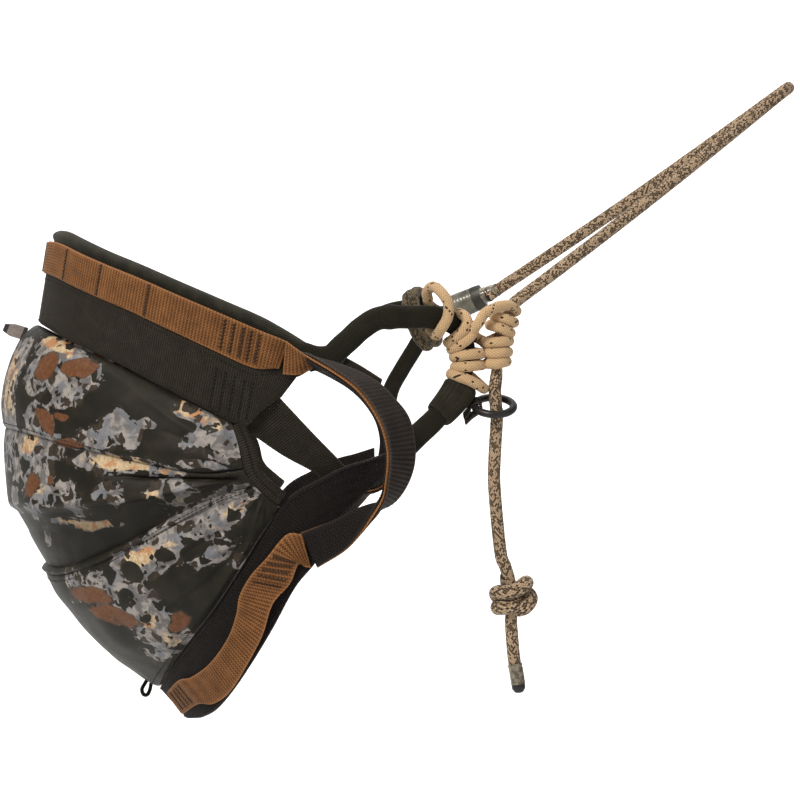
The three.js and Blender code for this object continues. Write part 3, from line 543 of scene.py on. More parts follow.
def rings(rows):
    R, n = [both(r) for r in rows], len(rows[0]) - 1

    def f(a, t):
        a, t = np.broadcast_arrays(np.asarray(a, float), np.asarray(t, float))
        E = np.stack([cr(r, a + n) for r in R])
        E = np.concatenate([2 * E[:1] - E[1:2], E, 2 * E[-1:] - E[-2:-1]])
        k = len(R) - 1
        tt = np.clip(t, 0, k)
        i = np.minimum(np.floor(tt).astype(int), k - 1)
        g = (tt - i)[..., None]
        take = lambda s: np.take_along_axis(E, (i + s)[None, ..., None].repeat(3, -1), 0)[0]
        p0, p1, p2, p3 = take(0), take(1), take(2), take(3)
        return 0.5 * (2 * p1 + (p2 - p0) * g + (2 * p0 - 5 * p1 + 4 * p2 - p3) * g * g + (3 * p1 - p0 - 3 * p2 + p3) * g ** 3)
    return f


belt, seat, leg = strip(BELT_TOP, BELT_LOW), rings(SEAT), strip(LEG_TOP, LEG_LOW)


def unit(v):
    return v / np.maximum(np.linalg.norm(v, axis=-1, keepdims=True), 1e-9)


def normals(f, a, t):
    e = 0.02
    n = unit(np.cross(f(a + e, t) - f(a - e, t), f(a, t + e) - f(a, t - e)))
    p = f(a, t)
    c = np.stack([np.full(p.shape[:-1], 150.0), np.zeros(p.shape[:-1]), p[..., 2] + 40], -1)
    s = np.sign(np.sum(n * (p - c), -1, keepdims=True))
    return n * np.where(s == 0, 1, s)


def lattice(seed, n=64):
    return np.random.RandomState(seed).rand(n, n, n)


_L = lattice(11)


def vnoise(p, scale, seed=0):
    """Smooth value noise, -1 to 1."""
    q = np.asarray(p, float) / scale + seed * 7.31
    i = np.floor(q).astype(int)
    f = q - i
    f = f * f * (3 - 2 * f)
    r = 0
    for dx in (0, 1):
        for dy in (0, 1):
            for dz in (0, 1):
                w = (f[..., 0] if dx else 1 - f[..., 0]) * (f[..., 1] if dy else 1 - f[..., 1]) * (f[..., 2] if dz else 1 - f[..., 2])
                r = r + w * _L[(i[..., 0] + dx) % 64, (i[..., 1] + dy) % 64, (i[..., 2] + dz) % 64]
    return r * 2 - 1


def side_plane(p):
    """Place of a point, folded to the near side, in the side view: across to the right and down, in steps of 0.78 mm."""
    sa, ca = math.sin(AZ), math.cos(AZ)
    x, y, z = p[..., 0] - 265.58, -np.abs(p[..., 1]), p[..., 2] + 94.517
    d = 2200.0 - x * sa + y * ca
    k = 2200.0 / 0.78
    return np.stack([400 + k * (x * ca + y * sa) / d, 400 - k * z / d], -1)


def polydist(uv, line):
    """Distance to a polyline and the share of the way along it."""
    L = np.asarray(line, float)
    seg = np.linalg.norm(np.diff(L, axis=0), axis=1)
    acc = np.concatenate([[0], np.cumsum(seg)])
    best = np.full(uv.shape[:-1], 1e9)
    share = np.zeros(uv.shape[:-1])
    side = np.zeros(uv.shape[:-1])
    for i in range(len(seg)):
        a, d = L[i], L[i + 1] - L[i]
        t = np.clip(((uv - a) @ d) / (seg[i] ** 2), 0, 1)
        r = uv - (a + t[..., None] * d)
        dist = np.linalg.norm(r, axis=-1)
        hit = dist < best
        best = np.where(hit, dist, best)
        share = np.where(hit, (acc[i] + t * seg[i]) / acc[-1], share)
        side = np.where(hit, np.sign(d[0] * r[..., 1] - d[1] * r[..., 0]), side)
    return best, share, side


# ----------------------------------------------------------------------------
# mesh builders
# ----------------------------------------------------------------------------
def build(name, verts, faces, corner_uv=None, vert_uv=None, mat=None, sharp=50, attrs=None):
    me = bpy.data.meshes.new(name)
    verts = np.asarray(verts, float).reshape(-1, 3) * S
    faces = np.asarray(faces)
    me.vertices.add(len(verts))
    me.vertices.foreach_set("co", verts.astype(np.float32).ravel())
    k = faces.shape[1]
    me.loops.add(faces.size)
    me.loops.foreach_set("vertex_index", faces.ravel().astype(np.int32))
    me.polygons.add(len(faces))
    me.polygons.foreach_set("loop_start", np.arange(0, faces.size, k, dtype=np.int32))
    me.polygons.foreach_set("loop_total", np.full(len(faces), k, np.int32))
    me.update(calc_edges=True)
    lay = me.uv_layers.new(name="UVMap")
    if corner_uv is not None:
        lay.data.foreach_set("uv", np.asarray(corner_uv, np.float32).ravel())
    elif vert_uv is not None:
        lay.data.foreach_set("uv", (np.asarray(vert_uv, np.float32).reshape(-1, 2)[faces.ravel()]).ravel())
    for key, values in (attrs or {}).items():
        at = me.attributes.new(key, "FLOAT", "POINT")
        at.data.foreach_set("value", np.asarray(values, np.float32).ravel())
    me.validate()
    me.shade_smooth()
    if sharp:
        me.set_sharp_from_angle(angle=math.radians(sharp))
    ob = bpy.data.objects.new(name, me)
    scene.collection.objects.link(ob)
    if mat is not None:
        me.materials.append(mat)
    return ob


def outward(verts, faces):
    """Faces turned so that the closed mesh has a positive volume."""
    v, f = np.asarray(verts, float).reshape(-1, 3), np.asarray(faces)
    a, b, c = v[f[:, 0]], v[f[:, 1]], v[f[:, 2]]
    vol = np.sum(a * np.cross(b, c))
    if f.shape[1] == 4:
        vol += np.sum(a * np.cross(c, v[f[:, 3]]))
    return vol >= 0


def sheet_mesh(name, top, low, U, V, mat, sharp=50, attrs=None):
    """A closed cloth from two grids of points with the same rows and columns. U, V are metres on the cloth."""
    nu, nv = top.shape[:2]
    verts = np.concatenate([top.reshape(-1, 3), low.reshape(-1, 3)])
    base = nu * nv
    i, j = np.meshgrid(np.arange(nu - 1), np.arange(nv - 1), indexing="ij")
    q = (i * nv + j).ravel()
    A = np.stack([q, q + nv, q + nv + 1, q + 1], -1)
    B = (A + base)[:, ::-1]
    rim = []
    r = np.arange(nu - 1) * nv
    rim.append(np.stack([r, r + base, r + nv + base, r + nv], -1))
    r = r + nv - 1
    rim.append(np.stack([r, r + nv, r + nv + base, r + base], -1))
    c = np.arange(nv - 1)
    rim.append(np.stack([c, c + 1, c + 1 + base, c + base], -1))
    c = c + (nu - 1) * nv
    rim.append(np.stack([c, c + base, c + 1 + base, c + 1], -1))
    faces = np.concatenate([A, B, *rim])
    if not outward(verts, faces):
        faces = faces[:, ::-1]
    uv = np.stack([U.ravel(), V.ravel()], -1)
    at = {k: np.concatenate([np.asarray(x).ravel()] * 2) for k, x in (attrs or {}).items()}
    return build(name, verts, faces, vert_uv=np.concatenate([uv, uv]), mat=mat, sharp=sharp, attrs=at)


def arc(P):
    return np.concatenate([[0], np.cumsum(np.linalg.norm(np.diff(P, axis=0), axis=1))])


def surface_grid(f, a0, a1, t0, t1, du, dv):
    """Even grid over a surface, its normals, and metres along and across it."""
    tm = (t0 + t1) / 2
    aa = np.linspace(a0, a1, 400)
    s = arc(f(aa, np.full(400, tm)))
    nu = max(2, int(round(s[-1] / du)) + 1)
    a = np.interp(np.linspace(0, s[-1], nu), s, aa)
    tt = np.linspace(t0, t1, 80)
    w = arc(f(np.full(80, (a0 + a1) / 2), tt))
    w2 = arc(f(np.full(80, a1 * 0.75 + a0 * 0.25), tt))
    w = (w / w[-1] + w2 / w2[-1]) / 2 * max(w[-1], w2[-1])
    nv = max(2, int(round(w[-1] / dv)) + 1)
    t = np.interp(np.linspace(0, w[-1], nv), w, tt)
    A, T = np.meshgrid(a, t, indexing="ij")
    P = f(A, T)
    N = normals(f, A, T)
    U = np.repeat((np.linspace(0, s[-1], nu))[:, None], nv, 1) * S
    seg = np.linalg.norm(np.diff(P, axis=1), axis=2)
    V = np.concatenate([np.zeros((nu, 1)), np.cumsum(seg, 1)], 1) * S
    return A, T, P, N, U, V


def edge_round(x, width, r):
    """1 in the middle of a strip, falling to 0 in a quarter circle of radius r at both edges; x from 0 to width."""
    d = np.minimum(x, width - x)
    k = np.clip(1 - d / r, 0, 1)
    return np.sqrt(np.clip(1 - k * k, 0, 1))


def web_on(name, f, a0, a1, t0, t1, lo, hi, mat, du=0.8, dv=1.5, rib=0.0, pitch=3.0, extra=None, crown=0.0, selv=0.12, r=0.9):
    """Webbing lying on a surface, from offset lo to offset hi, with woven ribs across it and rounded selvedges."""
    A, T, P, N, U, V = surface_grid(f, a0, a1, t0, t1, du, dv)
    W = V[:, -1:] / S
    x = V / S
    h = np.full(A.shape, float(hi))
    if rib:
        h = h - rib * (0.5 - 0.5 * np.cos(2 * math.pi * U / S / pitch)) * np.clip((np.minimum(x, W - x) - 0.8) / 0.8, 0, 1)
    h = h + crown * np.sin(math.pi * x / W)
    add = extra(A, T, P, U / S, x) if extra else 0
    er = edge_round(x, W, r)
    top = P + N * (lo + (h + add - lo) * (0.35 + 0.65 * er))[..., None]
    low = P + N * (np.zeros(A.shape) + lo + add * 0.85)[..., None]
    wear = np.exp(-np.minimum(x, W - x) / 0.9)
    return sheet_mesh(name, top, low, U, V, mat, attrs={"wear": wear * 0.8, "crease_shade": np.zeros_like(x)})


def tframes(P, up=(0, 0, 1)):
    """Tangents and rotation-minimising frames along a polyline."""
    P = np.asarray(P, float)
    t = unit(np.gradient(P, axis=0))
    u = np.zeros_like(P)
    v0 = np.asarray(up, float)
    v0 = v0 - t[0] * (v0 @ t[0])
    if np.linalg.norm(v0) < 1e-6:
        v0 = np.cross(t[0], (0, 1, 0.1))
    u[0] = v0 / np.linalg.norm(v0)
    for i in range(1, len(P)):
        w = u[i - 1] - t[i] * (u[i - 1] @ t[i])
        u[i] = w / np.linalg.norm(w)
    return t, u, np.cross(t, u)


def resample(P, step=None, n=None):
    P = np.asarray(P, float)
    s = arc(P)
    if n is None:
        n = max(3, int(round(s[-1] / step)) + 1)
    q = np.linspace(0, s[-1], n)
    return np.stack([np.interp(q, s, P[:, k]) for k in range(3)], -1), q


def smooth_path(P, step, closed=False):
    """A smooth curve through points, at even steps."""
    P = np.asarray(P, float)
    k = np.linspace(0, len(P) - 1, max(200, len(P) * 30))
    return resample(cr(P, k), step)


def tube(P, radius, sides=24, caps="round", relief=None, up=(0, 0, 1), squash=None, s=None):
    """Vertices, quads and corner UVs of a tube along a polyline. radius is a number or one per point."""
    P = np.asarray(P, float)
    n = len(P)
    s = arc(P) if s is None else s
    t, u, v = tframes(P, up)
    rad = np.full(n, float(radius)) if np.ndim(radius) == 0 else np.asarray(radius, float)
    th = 2 * math.pi * np.arange(sides) / sides
    c, sn = np.cos(th), np.sin(th)
    R = rad[:, None] * np.ones(sides)[None]
    if relief is not None:
        R = R + relief(s[:, None], th[None])
    a, b = (1.0, 1.0) if squash is None else squash
    ring = P[:, None] + u[:, None] * (R * c * a)[..., None] + v[:, None] * (R * sn * b)[..., None]
    verts = [ring.reshape(-1, 3)]
    i, j = np.meshgrid(np.arange(n - 1), np.arange(sides), indexing="ij")
    q0, q1 = (i * sides + j).ravel(), (i * sides + (j + 1) % sides).ravel()
    faces = [np.stack([q0, q1, q1 + sides, q0 + sides], -1)]
    uu, vv = s * S, np.arange(sides + 1) / sides
    U0, U1 = uu[i.ravel()], uu[i.ravel() + 1]
    V0, V1 = vv[j.ravel()], vv[j.ravel() + 1]
    uvs = [np.stack([np.stack([U0, V0], -1), np.stack([U0, V1], -1), np.stack([U1, V1], -1), np.stack([U1, V0], -1)], 1)]
    count = n * sides
    if caps:
        for end, sgn in ((0, -1), (n - 1, 1)):
            last = end * sides
            steps = (0.55, 0.85, 1.0) if caps == "round" else (0.12,)
            tip = P[end] + t[end] * sgn * rad[end] * (0.55 if caps == "round" else 0.0)
            base = last
            for kk, st in enumerate(steps[:-1] if caps == "round" else ()):
                f = math.cos(math.asin(st))
                rg = P[end] + t[end] * sgn * rad[end] * 0.55 * st + u[end] * (R[end] * c * a * f)[:, None] + v[end] * (R[end] * sn * b * f)[:, None]
                verts.append(rg)
                idx = np.arange(sides)
                nx = (idx + 1) % sides
                quad = np.stack([base + idx, base + nx, count + nx, count + idx], -1)
                faces.append(quad if sgn > 0 else quad[:, ::-1])
                uvs.append(np.full((sides, 4, 2), (uu[end], 0.5)))
                base, count = count, count + sides
            verts.append(tip[None])
            idx = np.arange(0, sides, 2)
            quad = np.stack([base + idx, base + (idx + 1) % sides, base + (idx + 2) % sides, np.full(len(idx), count)], -1)
            faces.append(quad if sgn > 0 else quad[:, ::-1])
            uvs.append(np.full((len(idx), 4, 2), (uu[end], 0.5)))
            count += 1
    V_, F_, C_ = np.concatenate(verts), np.concatenate(faces), np.concatenate(uvs)
    if not outward(V_, F_):
        F_, C_ = F_[:, ::-1], C_[:, ::-1]
    return V_, F_, C_


def join(parts):
    V_, F_, C_, k = [], [], [], 0
    for v, f, c in parts:
        V_.append(v)
        F_.append(f + k)
        C_.append(c)
        k += len(v)
    return np.concatenate(V_), np.concatenate(F_), np.concatenate(C_)


def braid(n, pitch, amp):
    def f(s, th):
        A, B = n * (th / (2 * math.pi) + s / pitch), n * (th / (2 * math.pi) - s / pitch)
        return amp * (np.abs(np.sin(math.pi * A)) * np.abs(np.sin(math.pi * B)) - 0.45)
    return f


def rope(name, points, d, mat, step=0.8, sides=51, n=17, pitch=38.0, amp=0.26, radius=None, up=(0.2, 1, 0.1), caps="round"):
    P, s = smooth_path(points, step)
    rad = np.full(len(P), d / 2.0) if radius is None else radius(s, s[-1], P)
    v, f, c = tube(P, rad, sides, caps, braid(n, pitch, amp), up)
    ob = build(name, v, f, corner_uv=c, mat=mat, sharp=None)
    return ob, P, s[-1]


def stitches(name, lines, mat, r=0.32, sides=6):
    """Sewn threads: each entry is a short polyline of one visible stitch."""
    parts = []
    for L in lines:
        P = np.asarray(L, float)
        parts.append(tube(P, r, sides, "round", None, (0.1, 0.2, 1)))
    v, f, c = join(parts)
    return build(name, v, f, corner_uv=c, mat=mat, sharp=None)


def stitch_row(f, pts, off, stitch=2.6, gap=0.9):
    """Stitches along a row of (a, t) places on a surface, lying at an offset above it."""
    pts = np.asarray(pts, float)
    k = np.linspace(0, len(pts) - 1, 600)
    at = np.stack([np.interp(k, np.arange(len(pts)), pts[:, c]) for c in (0, 1)], -1)
    P = f(at[:, 0], at[:, 1]) + normals(f, at[:, 0], at[:, 1]) * (off(at[:, 0], at[:, 1]) if callable(off) else off)[..., None] if callable(off) else f(at[:, 0], at[:, 1]) + normals(f, at[:, 0], at[:, 1]) * off
    s = arc(P)
    out, x = [], 0.3
    while x + stitch < s[-1]:
        q = np.linspace(x, x + stitch, 5)
        seg = np.stack([np.interp(q, s, P[:, c]) for c in range(3)], -1)
        nn = normals(f, np.interp(q, s, at[:, 0]), np.interp(q, s, at[:, 1]))
        seg = seg + nn * (np.array([-0.35, 0.15, 0.28, 0.15, -0.35]))[:, None]
        out.append(seg)
        x += stitch + gap
    return out


def tack(f, a, t0, t1, off, width=2.0, n=16):
    """A bar tack: a dense zigzag across webbing at place a, from t0 to t1."""
    out = []
    e = 0.01
    along = unit(f(np.array([a + e]), np.array([(t0 + t1) / 2])) - f(np.array([a - e]), np.array([(t0 + t1) / 2])))[0]
    for k in range(n):
        ta, tb = t0 + (t1 - t0) * k / n, t0 + (t1 - t0) * (k + 1) / n
        sgn = 1 if k % 2 else -1
        p = f(np.array([a, a]), np.array([ta, tb])) + normals(f, np.array([a, a]), np.array([ta, tb])) * off
        p0 = p[0] - along * sgn * width / 2
        p1 = p[1] + along * sgn * width / 2
        nn = normals(f, np.array([a]), np.array([ta]))[0]
        out.append(np.stack([p0 - nn * 0.3, (p0 * 2 + p1) / 3 + nn * 0.25, (p0 + p1 * 2) / 3 + nn * 0.25, p1 - nn * 0.3]))
    return out


def ride(ob, body="harness", slot=None, *nodes):
    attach(ob, body)
    if nodes:
        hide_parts(*nodes)
    return ob


# ----------------------------------------------------------------------------
# ropes and cords
# ----------------------------------------------------------------------------
A_END, N_END = np.array(FAR_ROPE[3]), np.array(ROPE_IN[0])
apex = np.array(APEX)
leg_dir = unit(apex - (A_END + N_END) / 2)
APEX_R = 11.0
mid_apex = apex - leg_dir * APEX_R
far_in = A_END - leg_dir * 10.0
row = [far_in, A_END]
far_turn, near_turn = mid_apex + (0, APEX_R, 0), mid_apex - (0, APEX_R, 0)
for k in range(1, 9):
    q = k / 9
    sag = 2.2 * math.sin(math.pi * q)
    row.append(A_END + (far_turn - A_END) * q + np.array([0, 0, -sag]))
for k in range(0, 7):
    th = math.pi * k / 6
    row.append(mid_apex + (0, APEX_R * math.cos(th), 0) + leg_dir * APEX_R * math.sin(th))
for k in range(1, 9):
    q = k / 9
    sag = 2.2 * math.sin(math.pi * q)
    row.append(near_turn + (N_END - near_turn) * q + np.array([0, 0, -sag]))
row += [N_END, cr(ROPE_IN, 0.5), ROPE_IN[1], cr(ROPE_IN, 1.5)]
END_IN = np.array(row[-1])


def bridge_radius(s, total, P):
    d = np.linalg.norm(P - END_IN, axis=1)
    return 4.75 - 0.9 * np.clip(1 - (d - 6) / 18, 0, 1) * (s > total * 0.7)


bridge, bridge_path, bridge_len = rope("bridge_rope_braid", row, 9.5, ROPE, radius=bridge_radius)
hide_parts("bridge_rope", "rope_through_hitch")

tail_pts = [cr(ROPE_IN, 1.5)] + ROPE_IN[2:] + TAIL[1:-1] + [[340.2, -95.0, -219.0], [344.0, -95.0, -232.0], [346.0, -95.0, -246.0]] + TAIL_END[:-1] + [[350.2, -95.0, -309.0]]
tail_pts = [list(map(float, p)) for p in tail_pts]


def tail_radius(s, total, P):
    z = P[:, 2]
    return 4.75 - 0.9 * np.clip((z + 78) / 10, 0, 1) - 0.5 * np.exp(-((z + 241) / 16) ** 2)


seen = []
for p in tail_pts:
    if not seen or np.linalg.norm(np.array(p) - seen[-1]) > 3.0:
        seen.append(np.array(p))
tail, tail_path, tail_len = rope("tail_rope_braid", seen, 9.5, ROPE, radius=tail_radius)
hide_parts("tail_rope", "tail_end")

# stopper knot: one strand that turns round the tail and back through itself
K = np.array(KNOT_AT)
knot_pts = [(-5, 1, 15), (-4, 4.5, 9), (2, 8, 4), (9.0, 6.5, 2.6), (12.4, 0.5, -1), (10.4, -4.8, -5.6), (5.6, -4.6, -9.2), (0, 1.5, -9.5), (-7, 6.5, -5), (-12.6, 4, 0.4), (-12.2, -4, 3),
            (-5, -8.8, 3.4), (3, -9, 6.2), (8.6, -4, 9.6), (8, 3.4, 8.8), (0, 8, 1), (-8.4, 6, -6.4), (-12.2, 0, -8.6), (-7.6, -6, -8), (-1, -5.6, -7), (3.4, -2, -5)]
knot, kp, kl = rope("stopper_knot_braid", [K + np.array(p, float) for p in knot_pts], 11.0, ROPE, step=0.8, sides=51)
ride(knot, "tail", "bridge_rope", "stopper_knot")

# tail end: clear shrink sleeve and black cap
P, s = smooth_path(cr(TAIL_END, np.linspace(2.30, 3.56, 20)), 1.2)
v, f, c = tube(P, 5.45 + 0.12 * np.sin(s * 1.9) + 0.2 * (s < 2) , 28, "flat", None, (0, 1, 0))
T = Tree("clear_sleeve", rough=0.22, base=(0.30, 0.26, 0.20), spec=0.5, coat=0.5)
nz = T.noise(T.obj(), 220.0, 3.0)
CLEAR = T.out(T.mix(T.step(nz, 0.35, 0.65), (0.10, 0.085, 0.062), (0.30, 0.265, 0.20)), T.m("ADD", 0.18, T.m("MULTIPLY", nz, 0.2)), T.bump(nz, 0.0006, 0.5))
sleeve = ride(build("tail_clear_sleeve", v, f, corner_uv=c, mat=CLEAR), "tail", "clear_sleeve", "tail_sleeve")
T = Tree("black_plastic", rough=0.38, base=(0.012, 0.012, 0.013), spec=0.5)
nz = T.noise(T.obj(), 400.0, 3.0)
BLACK = T.out(T.mix(nz, (0.008, 0.008, 0.009), (0.022, 0.021, 0.021)), T.m("ADD", 0.30, T.m("MULTIPLY", nz, 0.2)), T.bump(T.noise(T.obj(), 900.0, 2.0), 0.0002, 0.4))
P, s = smooth_path(cr(TAIL_END, np.linspace(3.52, 4.0, 12)), 0.8)
v, f, c = tube(P, 5.15 - 0.9 * np.clip((s - s[-1] + 2.0) / 2.0, 0, 1) ** 2, 28, "round", None, (0, 1, 0))
tip = ride(build("tail_cap", v, f, corner_uv=c, mat=BLACK), "tail", "black_plastic", "tail_tip")


cord1, cp1, cl1 = rope("hitch_cord_loops", LOOPS_PATH, 8.0, CORD, step=0.8, sides=36, n=12, pitch=24.0, amp=0.26)
ride(cord1, "harness", "hitch_cord", "hitch_loop_wraps")
cord2, cp2, cl2 = rope("hitch_cord_wraps", WRAPS_PATH, 8.0, CORD, step=0.8, sides=36, n=12, pitch=24.0, amp=0.26)
ride(cord2, "harness", "hitch_cord", "hitch_rope_wraps", "hitch_neck")

# far side: the rope's girth hitch round the far loop, its sewn eye and sleeves
FH = np.array(FAR_HITCH)
axis = unit(FH[2] - FH[0])
side = unit(np.cross(axis, (0, 0, 1)))
rise = np.cross(side, axis)
if rise[2] < 0:
    rise = -rise
pts = []
for k in range(0, 34):
    th = 2 * math.pi * k / 16 + math.pi * 0.5
    o = -5.2 + 10.4 * min(1, max(0, (k - 6) / 20))
    pts.append(FH[1] + axis * o + side * 15.8 * math.cos(th) + rise * (1.6 + 22.0 * math.sin(th)))
pts += [FH[1] + axis * 12 + rise * 8 + side * 1.0, np.array(FAR_ROPE[0]) * 0.5 + (FH[1] + axis * 12 + rise * 2) * 0.5, np.array(FAR_ROPE[0]) + (2.0, 0, 0)]
# the far girth hitch wears the painted-shade copy of the rope colours
far_cord, fp, fl = rope("far_girth_hitch", pts, 9.0, ROPE_SHADED, step=0.9, sides=42)
ride(far_cord, "harness", "bridge_rope", "far_rope_hitch")

P, s = smooth_path(cr(FAR_ROPE, np.linspace(0.05, 1.95, 30)), 0.8)
v, f, c = tube(P, 8.6 + 0.8 * np.sin(np.clip(s / s[-1], 0, 1) * math.pi) ** 0.5 + 0.1 * np.sin(s * 2.2), 30, "flat", None, (0, 0, 1), squash=(1.12, 0.78))
T = Tree("label_sleeve", rough=0.35, base=(0.25, 0.25, 0.2), spec=0.5, coat=0.3)
vec, u, vv = T.uv()
nz = T.noise(T.obj(), 120.0, 4.0)
SLEEVE = T.out(T.mix(T.step(nz, 0.3, 0.7), (0.085, 0.085, 0.062), (0.20, 0.195, 0.155)), T.m("ADD", 0.28, T.m("MULTIPLY", nz, 0.25)), T.bump(nz, 0.0008, 0.5))
ride(build("far_label_sleeve", v, f, corner_uv=c, mat=SLEEVE), "harness", "clear_sleeve", "far_eye_sleeve")
P, s = smooth_path(cr(FAR_ROPE, np.linspace(1.80, 2.25, 10)), 0.5)
v, f, c = tube(P, 9.0 - 0.4 * s / s[-1] + 0.3 * np.sin(s / s[-1] * math.pi), 30, "flat", None, (0, 0, 1), squash=(1.12, 0.8))
T = Tree("dark_band", rough=0.45, base=(0.03, 0.03, 0.025), spec=0.45)
nz = T.noise(T.obj(), 300.0, 4.0)
BAND = T.out(T.mix(nz, (0.020, 0.020, 0.015), (0.060, 0.060, 0.048)), T.m("ADD", 0.35, T.m("MULTIPLY", nz, 0.2)), T.bump(nz, 0.0005, 0.5))
ride(build("far_sleeve_band", v, f, corner_uv=c, mat=BAND), "harness", "black_plastic", "far_eye_band")
P, s = smooth_path(cr(FAR_ROPE, np.linspace(2.20, 3.02, 20)), 0.7)
v, f, c = tube(P, 7.0 - 1.6 * (s / s[-1]) ** 0.8 + 0.15 * np.sin(s * 2.0) + 0.2 * np.sin(s * 0.9), 28, "flat", None, (0, 0, 1))
ride(build("far_clear_shrink", v, f, corner_uv=c, mat=CLEAR), "harness", "clear_sleeve", "far_eye_shrink")

(resample(bridge_path, n=120)[0] * S).tolist()
(resample(tail_path, n=90)[0] * S).tolist()
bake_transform(bridge)
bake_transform(tail)

# ----------------------------------------------------------------------------
# camouflage cloth
# ----------------------------------------------------------------------------
def blob_field(uv, blobs):
    """Soft union of ellipses: (u, v, half width, half height, turn in degrees, weight)."""
    out = np.zeros(uv.shape[:-1])
    for (cu, cv, ru, rv, deg, w) in blobs:
        a = math.radians(deg)
        d = uv - (cu, cv)
        x = (d[..., 0] * math.cos(a) + d[..., 1] * math.sin(a)) / ru
        y = (-d[..., 0] * math.sin(a) + d[..., 1] * math.cos(a)) / rv
        r = np.sqrt(x * x + y * y)
        out = np.maximum(out, w * np.clip(1.6 - r, 0, 1.0))
    return out


LIGHT = [(62, 356, 22, 14, 20, 1), (45, 374, 11, 15, 20, 1), (64, 382, 9, 20, 10, 1), (96, 376, 17, 13, -10, 1), (70, 368, 26, 12, 0, .9), (36, 384, 7, 10, 0, .9), (60, 400, 12, 8, 0, .9), (80, 396, 12, 10, 0, .8),
         (24, 362, 5, 22, 20, 1), (14, 400, 5, 44, 8, 1), (12, 440, 7, 20, 0, .9), (40, 420, 12, 14, 20, .9), (58, 436, 9, 5, 15, .9), (75, 444, 14, 5, 15, .9),
         (118, 424, 14, 17, 20, 1), (105, 436, 20, 10, 10, 1), (132, 436, 13, 14, 10, 1), (148, 425, 10, 5, 0, .9), (96, 444, 14, 6, 10, .9),
         (182, 410, 12, 10, 30, 1), (200, 418, 24, 11, 25, 1), (215, 436, 24, 12, 10, 1), (188, 442, 10, 9, 0, .8), (224, 452, 16, 12, 0, .9), (205, 466, 24, 4, 4, .9),
         (34, 446, 19, 18, 30, 1), (44, 474, 12, 22, 10, 1), (22, 462, 12, 16, 0, .9), (52, 492, 8, 12, -20, .9), (58, 452, 6, 8, 0, .7),
         (128, 467, 46, 8, 7, 1), (98, 459, 14, 6, 10, 1), (172, 494, 20, 11, 5, 1), (158, 488, 10, 9, 0, .9), (110, 490, 12, 10, 20, .9), (118, 502, 8, 6, 0, .9),
         (68, 488, 9, 9, 20, .9), (80, 504, 8, 12, -30, .9), (38, 508, 7, 12, 20, .9), (84, 525, 30, 4.5, 4, 1), (20, 500, 4, 12, 0, .9), (44, 535, 3, 9, 0, .9),
         (222, 508, 34, 15, -28, 1), (186, 532, 40, 18, -25, 1), (150, 556, 34, 17, -25, 1), (128, 566, 16, 14, 0, 1), (210, 552, 26, 10, -25, .9), (238, 498, 18, 12, -20, 1),
         (108, 582, 16, 14, 20, .9), (100, 600, 22, 10, 30, .9), (140, 604, 26, 18, 35, 1), (165, 632, 24, 20, 30, 1), (186, 640, 12, 10, 0, .9), (78, 575, 12, 7, 30, .9), (240, 560, 6, 8, 0, .7)]
DARKS = [(150, 385, 44, 24, 20, 1), (98, 404, 16, 8, 20, .5), (22, 410, 5, 12, 8, .3), (188, 566, 7, 4, 0, .5), (164, 553, 9, 6, 0, 1.1), (134, 568, 10, 9, 20, 1.1), (196, 546, 13, 10, -10, .8), (187, 528, 8, 7, 0, .9), (212, 432, 8, 4, 0, .8), (178, 428, 14, 8, 0, .8), (115, 484, 3, 3, 0, .8), (168, 500, 2, 5, 0, .3), (90, 604, 8, 6, 0, .7), (148, 612, 6, 5, 0, .9), (128, 592, 6, 5, 0, .9)]
RUST = [(51, 368, 7, 13, 30, 1), (82, 369, 16, 8, -4, 1), (48, 421, 7, 12, -30, 1), (63, 416, 6, 4, 20, 1), (70, 443, 15, 4.5, 12, .9), (120, 613, 22, 8, 14, 1), (95, 592, 20, 7, 20, .85), (182, 618, 10, 12, 40, .8), (37, 482, 5, 12, 10, .7), (54, 478, 4, 6, 0, .6)]
CREAM = [(60, 346, 20, 9, 15, 1), (70, 350, 6, 14, 0, .8), (16, 384, 6, 42, 10, .8), (188, 410, 22, 8, 20, 1), (205, 420, 24, 8, 30, .8), (120, 464, 36, 8, 7, 1), (160, 472, 24, 5, 5, .8), (154, 492, 8, 12, 0, .9), (178, 500, 10, 5, 0, .7), (86, 525, 30, 5, 4, 1), (240, 505, 22, 8, -25, .7), (215, 528, 18, 8, -20, .6), (140, 556, 18, 8, -20, 1), (172, 545, 12, 6, -20, .7), (168, 590, 14, 10, 30, .6), (150, 616, 12, 10, 30, .8), (172, 638, 14, 10, 30, .8), (30, 442, 9, 10, 0, 1), (42, 486, 8, 10, 0, .7)]


def camo_attrs(P):
    uv = side_plane(P)
    warp = np.stack([vnoise(P, 17.0, 1) * 3.0 + vnoise(P, 7.0, 2) * 1.6, vnoise(P, 15.0, 3) * 3.0 + vnoise(P, 6.0, 4) * 1.6], -1)
    q = uv + warp
    far = P[..., 1] > 0
    q = q + np.where(far, 1.0, 0.0)[..., None] * np.stack([vnoise(P, 60.0, 8) * 26, vnoise(P, 60.0, 9) * 22], -1)
    return {"light": blob_field(q, LIGHT) - 0.9 * blob_field(q, DARKS), "rust": blob_field(q, RUST), "cream": blob_field(q, CREAM)}


